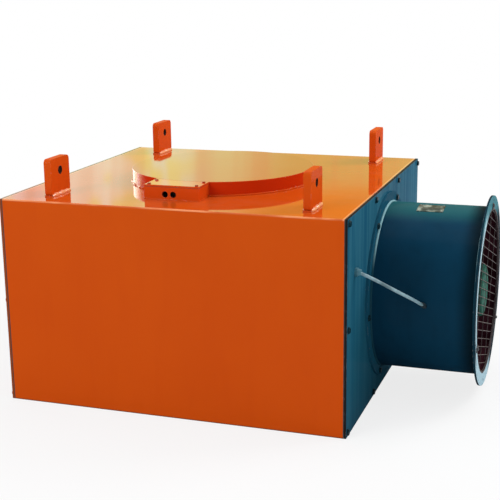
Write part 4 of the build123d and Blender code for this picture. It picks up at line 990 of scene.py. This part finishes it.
def sheet_marks(streak, streaked, edge):
    """Streaks that run down a cover, more of them high up, and a painted shade on its edges that do not
    face out. On the teal cover the pale streaks high up are partly a painted light that makes the upper
    part paler.
    """

    def marks(tree):
        runs = put(tree, "ShaderNodeMapping", {"Vector": here(tree), "Scale": (1.0, 27.0, 0.9)})
        share = band(tree, noise(tree, runs.outputs[0], 1.0, 5.0), 0.35, 0.7, 0.1, 1.0)
        height = axes(tree, here(tree))["Z"]
        # More streaks high up; on the teal cover this is partly a painted light on the upper part.
        higher = band(tree, height, *STREAK_HEIGHTS, 0.35 * streaked, streaked)
        share = calc(tree, "MULTIPLY", share, higher)
        # Faces that do not look out along X, the covers' edges, get a painted shade.
        outward = calc(tree, "ABSOLUTE", facing(tree)["X"])
        return lay(tree, (streak, share), edge, band(tree, outward, 0.6, 0.3))

    return marks


cover_teal = enamel(
    "side_cover_enamel",
    TEAL,
    TEAL_THIN,
    uneven=0.8,
    wear=0.4,
    coat=0.03,
    grazing=0.08,
    split=sheet_marks(TEAL_STREAK_AND_LIGHT, 0.8, TEAL_EDGE_SHADE),
)
outlet_marks = sheet_marks(ORANGE_DEEP, 0.3, ORANGE_EDGE_SHADE)
outlet_enamel = enamel("outlet_cover_enamel", ORANGE, ORANGE_DEEP, wear=0.3, split=outlet_marks)
dress(cover_teal, "fan_side_cover", "motor_spider")
dress(outlet_enamel, "outlet_side_cover", "outlet_louvre")

# The fan duct: a rolled tube of sheet steel with a bolting flange welded on each end,
# navy enamel outside and red primer inside. Painted light is laid on it: a highlight along
# its crown, on its welds' upper part and on the free flange face's upper part, a shade by
# the free flange and on its rim, and a pale blue reflection on that face's front and lower part.
FAN_AXIS_HEIGHT = 0.336
DUCT_INNER = 0.266
DUCT_OUTER = 0.271
DUCT_WELD = 0.0045
DUCT_RIPPLE = 0.006
DUCT_WELD_STEPS = 220
BASE_FLANGE = 0.008
OUTER_FLANGE = 0.007
CROWN_HIGHLIGHT_HEIGHTS = (0.236, 0.272)
CREST_HEIGHTS = (0.20, 0.26)
REFLECTION_HEIGHTS = (-0.12, -0.20)
REFLECTION_SWEEP = (-0.05, 0.08)
BEAD_HIGHLIGHT_HEIGHTS = (0.10, 0.20)
END_SHADE_START, END_SHADE_END = 0.075, 0.015
RIM_START, RIM_END = 0.034, 0.0355
REFLECTION_START, REFLECTION_END = 0.024, 0.016
NAVY = (0.004, 0.040, 0.080, 1)
NAVY_DEEP = (0.003, 0.020, 0.038, 1)
CROWN_HIGHLIGHT = (0.020, 0.110, 0.120, 1)
DUCT_END_SHADE = (0.002, 0.010, 0.016, 1)
BASE_TEAL = (0.012, 0.085, 0.140, 1)
OUTER_RIM_SHADE = (0.006, 0.028, 0.045, 1)
FLANGE_CREST_HIGHLIGHT = (0.07, 0.23, 0.27, 1)
FLANGE_REFLECTION = (0.42, 0.60, 0.68, 1)
PRIMER = (0.050, 0.014, 0.022, 1)
PRIMER_DEEP = (0.022, 0.006, 0.009, 1)
DUCT_BEAD_HIGHLIGHT = (0.24, 0.44, 0.48, 1)
BEAD_TEAL = (0.010, 0.055, 0.080, 1)
duct_low, duct_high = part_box("fan_duct")


def duct_axis_place(tree):
    """Along the duct, across it, up from its axis, and out from its axis."""
    place = axes(tree, here(tree))
    height = calc(tree, "SUBTRACT", place["Z"], FAN_AXIS_HEIGHT)
    away = put(tree, "ShaderNodeCombineXYZ", {0: place["Y"], 1: height})
    return place["X"], place["Y"], height, reach_of(tree, away.outputs[0])


def duct_marks(tree):
    """A painted highlight along the duct's crown, a painted shade on the tube by the outer flange and on
    that flange's rim, teal on the base flange, a painted highlight on the outer flange face's upper part, a
    painted reflection on its front and lower part, and primer inside.
    """
    along, across, height, radius = duct_axis_place(tree)
    # A painted highlight along the top of the tube.
    crown = band(tree, height, *CROWN_HIGHLIGHT_HEIGHTS, 0.0, 0.9)
    # A painted shade on the tube close by the outer flange.
    grime = band(tree, along, duct_high.x - END_SHADE_START, duct_high.x - END_SHADE_END, 0.0, 0.9)
    laid = lay(tree, (CROWN_HIGHLIGHT, crown), DUCT_END_SHADE, grime)
    base = band(tree, along, duct_low.x + BASE_FLANGE + 0.001, duct_low.x + BASE_FLANGE)
    laid = lay(tree, laid, BASE_TEAL, base)
    # A painted shade on the outer flange's rim.
    rim = band(tree, radius, DUCT_OUTER + RIM_START, DUCT_OUTER + RIM_END)
    rim = calc(tree, "MULTIPLY", rim, band(tree, along, duct_high.x - 0.010, duct_high.x - OUTER_FLANGE))
    laid = lay(tree, laid, OUTER_RIM_SHADE, rim)
    # A painted reflection, pale blue, on the front and lower part of the outer flange's face.
    to_front = calc(tree, "MULTIPLY_ADD", across, -1.4, calc(tree, "MULTIPLY", height, -0.5))
    inner_ring = band(tree, radius, DUCT_OUTER + REFLECTION_START, DUCT_OUTER + REFLECTION_END)
    flange_reflection = calc(tree, "MAXIMUM", inner_ring, band(tree, height, *REFLECTION_HEIGHTS))
    flange_reflection = calc(tree, "MULTIPLY", flange_reflection, band(tree, to_front, *REFLECTION_SWEEP, 0.0, 0.9))
    face = band(tree, along, duct_high.x - 0.0012, duct_high.x - 0.0004)
    # A painted highlight on the upper part of the outer flange's face.
    crest_highlight = calc(tree, "MULTIPLY", band(tree, height, *CREST_HEIGHTS, 0.0, 0.85), face)
    laid = lay(tree, laid, FLANGE_CREST_HIGHLIGHT, crest_highlight)
    laid = lay(tree, laid, FLANGE_REFLECTION, calc(tree, "MULTIPLY", flange_reflection, face))
    clouds = noise(tree, here(tree), 9.0, 5.0)
    primer = blend_colours(tree, band(tree, clouds, 0.4, 0.65), PRIMER, PRIMER_DEEP)
    return lay(tree, laid, primer, band(tree, radius, DUCT_INNER + 0.0008, DUCT_INNER + 0.0004))


def weld_marks(tree):
    """A pale painted highlight on the upper part of the duct's welds."""
    height = duct_axis_place(tree)[2]
    return DUCT_BEAD_HIGHLIGHT, band(tree, height, *BEAD_HIGHLIGHT_HEIGHTS)


duct_enamel = enamel(
    "duct_enamel",
    NAVY,
    NAVY_DEEP,
    uneven=0.6,
    wear=0.4,
    dust=0.01,
    coat=0.02,
    grazing=0.05,
    split=duct_marks,
)
dress(duct_enamel, "fan_duct")
duct_weld_enamel = enamel(
    "duct_weld_enamel", BEAD_TEAL, NAVY, wear=0.2, coat=0.05, grazing=0.1, split=weld_marks
)
vertices, faces = [], []
weld_out = DUCT_WELD * LOW_SEAT
for x in (duct_low.x + BASE_FLANGE + weld_out, duct_high.x - OUTER_FLANGE - weld_out):
    ring = []
    for index in range(DUCT_WELD_STEPS):
        angle = 2 * math.pi * index / DUCT_WELD_STEPS
        height = FAN_AXIS_HEIGHT + DUCT_OUTER * math.sin(angle)
        ring.append(Vector((x, DUCT_OUTER * math.cos(angle), height)))
    add_bead(vertices, faces, ring, True, DUCT_WELD, DUCT_RIPPLE, draw)
duct_weld = new_piece("fan_duct_welds", vertices, faces, duct_weld_enamel)

# The fan motor: a finned cast-iron frame with two end shields, in green machine paint,
# carried on a spider of flat bar inside the duct. A pressed cap is pushed over the outer
# shield, close behind the guard, and the terminal box faces the front.
MOTOR_GREEN = (0.034, 0.135, 0.098, 1)
MOTOR_GREEN_DEEP = (0.010, 0.045, 0.038, 1)
CAP_DEPTH = 0.0262
CAP_ROUNDING = 0.012
CAP_DOME = 0.0012
CAP_LIP = 0.0015
CAP_START_GAP = 0.003
CAP_ROUND = 64
CAP_STEPS = 8
LAMINATION, LAMINATION_RUST = (0.2, 0.2, 0.2, 1), (0.1, 0.06, 0.04, 1)
GROUND_STEEL, GROUND_STAIN = (0.6, 0.6, 0.6, 1), (0.4, 0.4, 0.4, 1)
motor_enamel = enamel(
    "motor_enamel",
    MOTOR_GREEN,
    MOTOR_GREEN_DEEP,
    uneven=0.95,
    patch=26.0,
    wear=0.3,
    dust=0.0,
    coat=0.03,
    grazing=0.07,
)
dress(motor_enamel, "motor_frame", "drive_end_shield", "outer_end_shield", "motor_terminal_box")
shield_low, shield_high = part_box("outer_end_shield")
cap_radius = (shield_high.z - shield_low.z) / 2 + CAP_LIP
cap_rings = [(0.0, [cap_radius] * CAP_ROUND)]
for step in range(CAP_STEPS + 1):
    angle = math.pi / 2 * step / CAP_STEPS
    reach = cap_radius - CAP_ROUNDING * (1 - math.cos(angle))
    cap_rings.append((CAP_DEPTH - CAP_ROUNDING * (1 - math.sin(angle)), [reach] * CAP_ROUND))
cap_rings.append((CAP_DEPTH + CAP_DOME, [cap_radius * 0.4] * CAP_ROUND))
vertices, faces = [], []
cap_foot = Vector((shield_low.x + CAP_START_GAP, 0, FAN_AXIS_HEIGHT))
x_axis, y_axis, z_axis = Vector((1, 0, 0)), Vector((0, 1, 0)), Vector((0, 0, 1))
add_ring_stack(vertices, faces, cap_foot, y_axis, z_axis, x_axis, cap_rings)
end_cap = new_piece("motor_end_cap", vertices, faces, motor_enamel)
lamination = bare_metal("stator_laminations", LAMINATION, LAMINATION_RUST, (900.0, 2.0, 2.0))
bearing_steel = bare_metal("bearing_steel", GROUND_STEEL, GROUND_STAIN, (900.0, 3.0, 3.0), 0.15)
dress(lamination, "motor_stator", "motor_rotor")
dress(bearing_steel, "drive_end_bearing", "outer_end_bearing", "motor_shaft")

# The impeller: one aluminium casting, a cup-shaped hub with six twisted blades, bead
# blasted and keyed on the motor shaft behind a nut.
BLASTED = (0.5, 0.51, 0.52, 1)
BLASTED_PIT = (0.34, 0.34, 0.34, 1)
dress(casting("blasted_aluminium", BLASTED, BLASTED_PIT, 0.85, 420.0, 0.4), "fan_impeller")

# The wire guard: welded mesh on a flat hoop, held by three tabs under screws in the
# duct's outer flange. It was dipped in zinc, and has gone dark with dust and oil.
DULL_WIRE = (0.10, 0.08, 0.085, 1)
WIRE_DIRT = (0.05, 0.035, 0.035, 1)
dress(
    bare_metal("dipped_zinc_wire", DULL_WIRE, WIRE_DIRT, (80.0, 80.0, 80.0), 0.5, 0.6, 60.0), "wire_guard"
)

# The motor lead: a round cable in a blue-grey sheath. It leaves a gland on the side cover,
# sags round to the duct, passes its wall in a slanted rubber bush and ends in the
# motor's terminal box.
LEAD_ROUTE = [
    (0.568, -0.435, 0.487),
    (0.604, -0.428, 0.471),
    (0.634, -0.411, 0.451),
    (0.664, -0.385, 0.427),
    (0.694, -0.352, 0.401),
    (0.716, -0.312, 0.376),
    (0.7438, -0.2466, 0.335),
    (0.757, -0.200, 0.327),
    (0.766, -0.152, 0.323),
    (0.770, -0.118, 0.322),
]
LEAD_DIAMETER = 0.010
SHEATH = (0.29, 0.45, 0.51, 1)
SHEATH_GRIME = (0.11, 0.19, 0.22, 1)
SHEATH_DEPTH = 0.0003
BUSH_RUBBER = (0.003, 0.014, 0.022, 1)
GLAND_NYLON = (0.045, 0.15, 0.19, 1)


def lead_sheath():
    material, tree, shader = blank_material("grey_lead_sheath")
    grime = noise(tree, here(tree), 26.0, 4.0)
    shade = blend_colours(tree, band(tree, grime, 0.4, 0.7), SHEATH, SHEATH_GRIME)
    tree.links.new(shade, shader.inputs["Base Color"])
    tree.links.new(band(tree, grime, 0.3, 0.7, 0.3, 0.5), shader.inputs["Roughness"])
    bump(tree, shader, noise(tree, here(tree), 800.0, 2.0), 0.15, SHEATH_DEPTH)
    return material


lead_curve = bpy.data.curves.new("motor_lead", "CURVE")
lead_curve.dimensions = "3D"
lead_curve.bevel_depth = LEAD_DIAMETER / 2
lead_curve.bevel_resolution = 6
lead_curve.use_fill_caps = True
lead_spline = lead_curve.splines.new("NURBS")
lead_spline.points.add(len(LEAD_ROUTE) - 1)
for point, place in zip(lead_spline.points, LEAD_ROUTE):
    point.co = (*place, 1.0)
lead_spline.order_u = 3
lead_spline.use_endpoint_u = True
lead_spline.resolution_u = 12
lead_curve.materials.append(lead_sheath())
motor_lead = bpy.data.objects.new("motor_lead", lead_curve)
bpy.context.scene.collection.objects.link(motor_lead)
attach(motor_lead, "magnet")
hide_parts("fan_lead")
dress(rubber("blue_black_rubber", BUSH_RUBBER), "lead_bush")
dress(rubber("grey_gland_nylon", GLAND_NYLON, 0.35), "lead_gland")

# The rating plate: thin aluminium riveted on top of the duct, with nothing marked on it.
# Dark overspray covers it and has flaked off in patches.
OVERSPRAY = (0.045, 0.070, 0.055, 1)
FLAKED_BARE = (0.50, 0.55, 0.46, 1)
plate_metal = bare_metal("plate_aluminium", OVERSPRAY, FLAKED_BARE, (6.0, 6.0, 6.0), 0.35, 0.95, 26.0)
dress(plate_metal, "rating_plate")
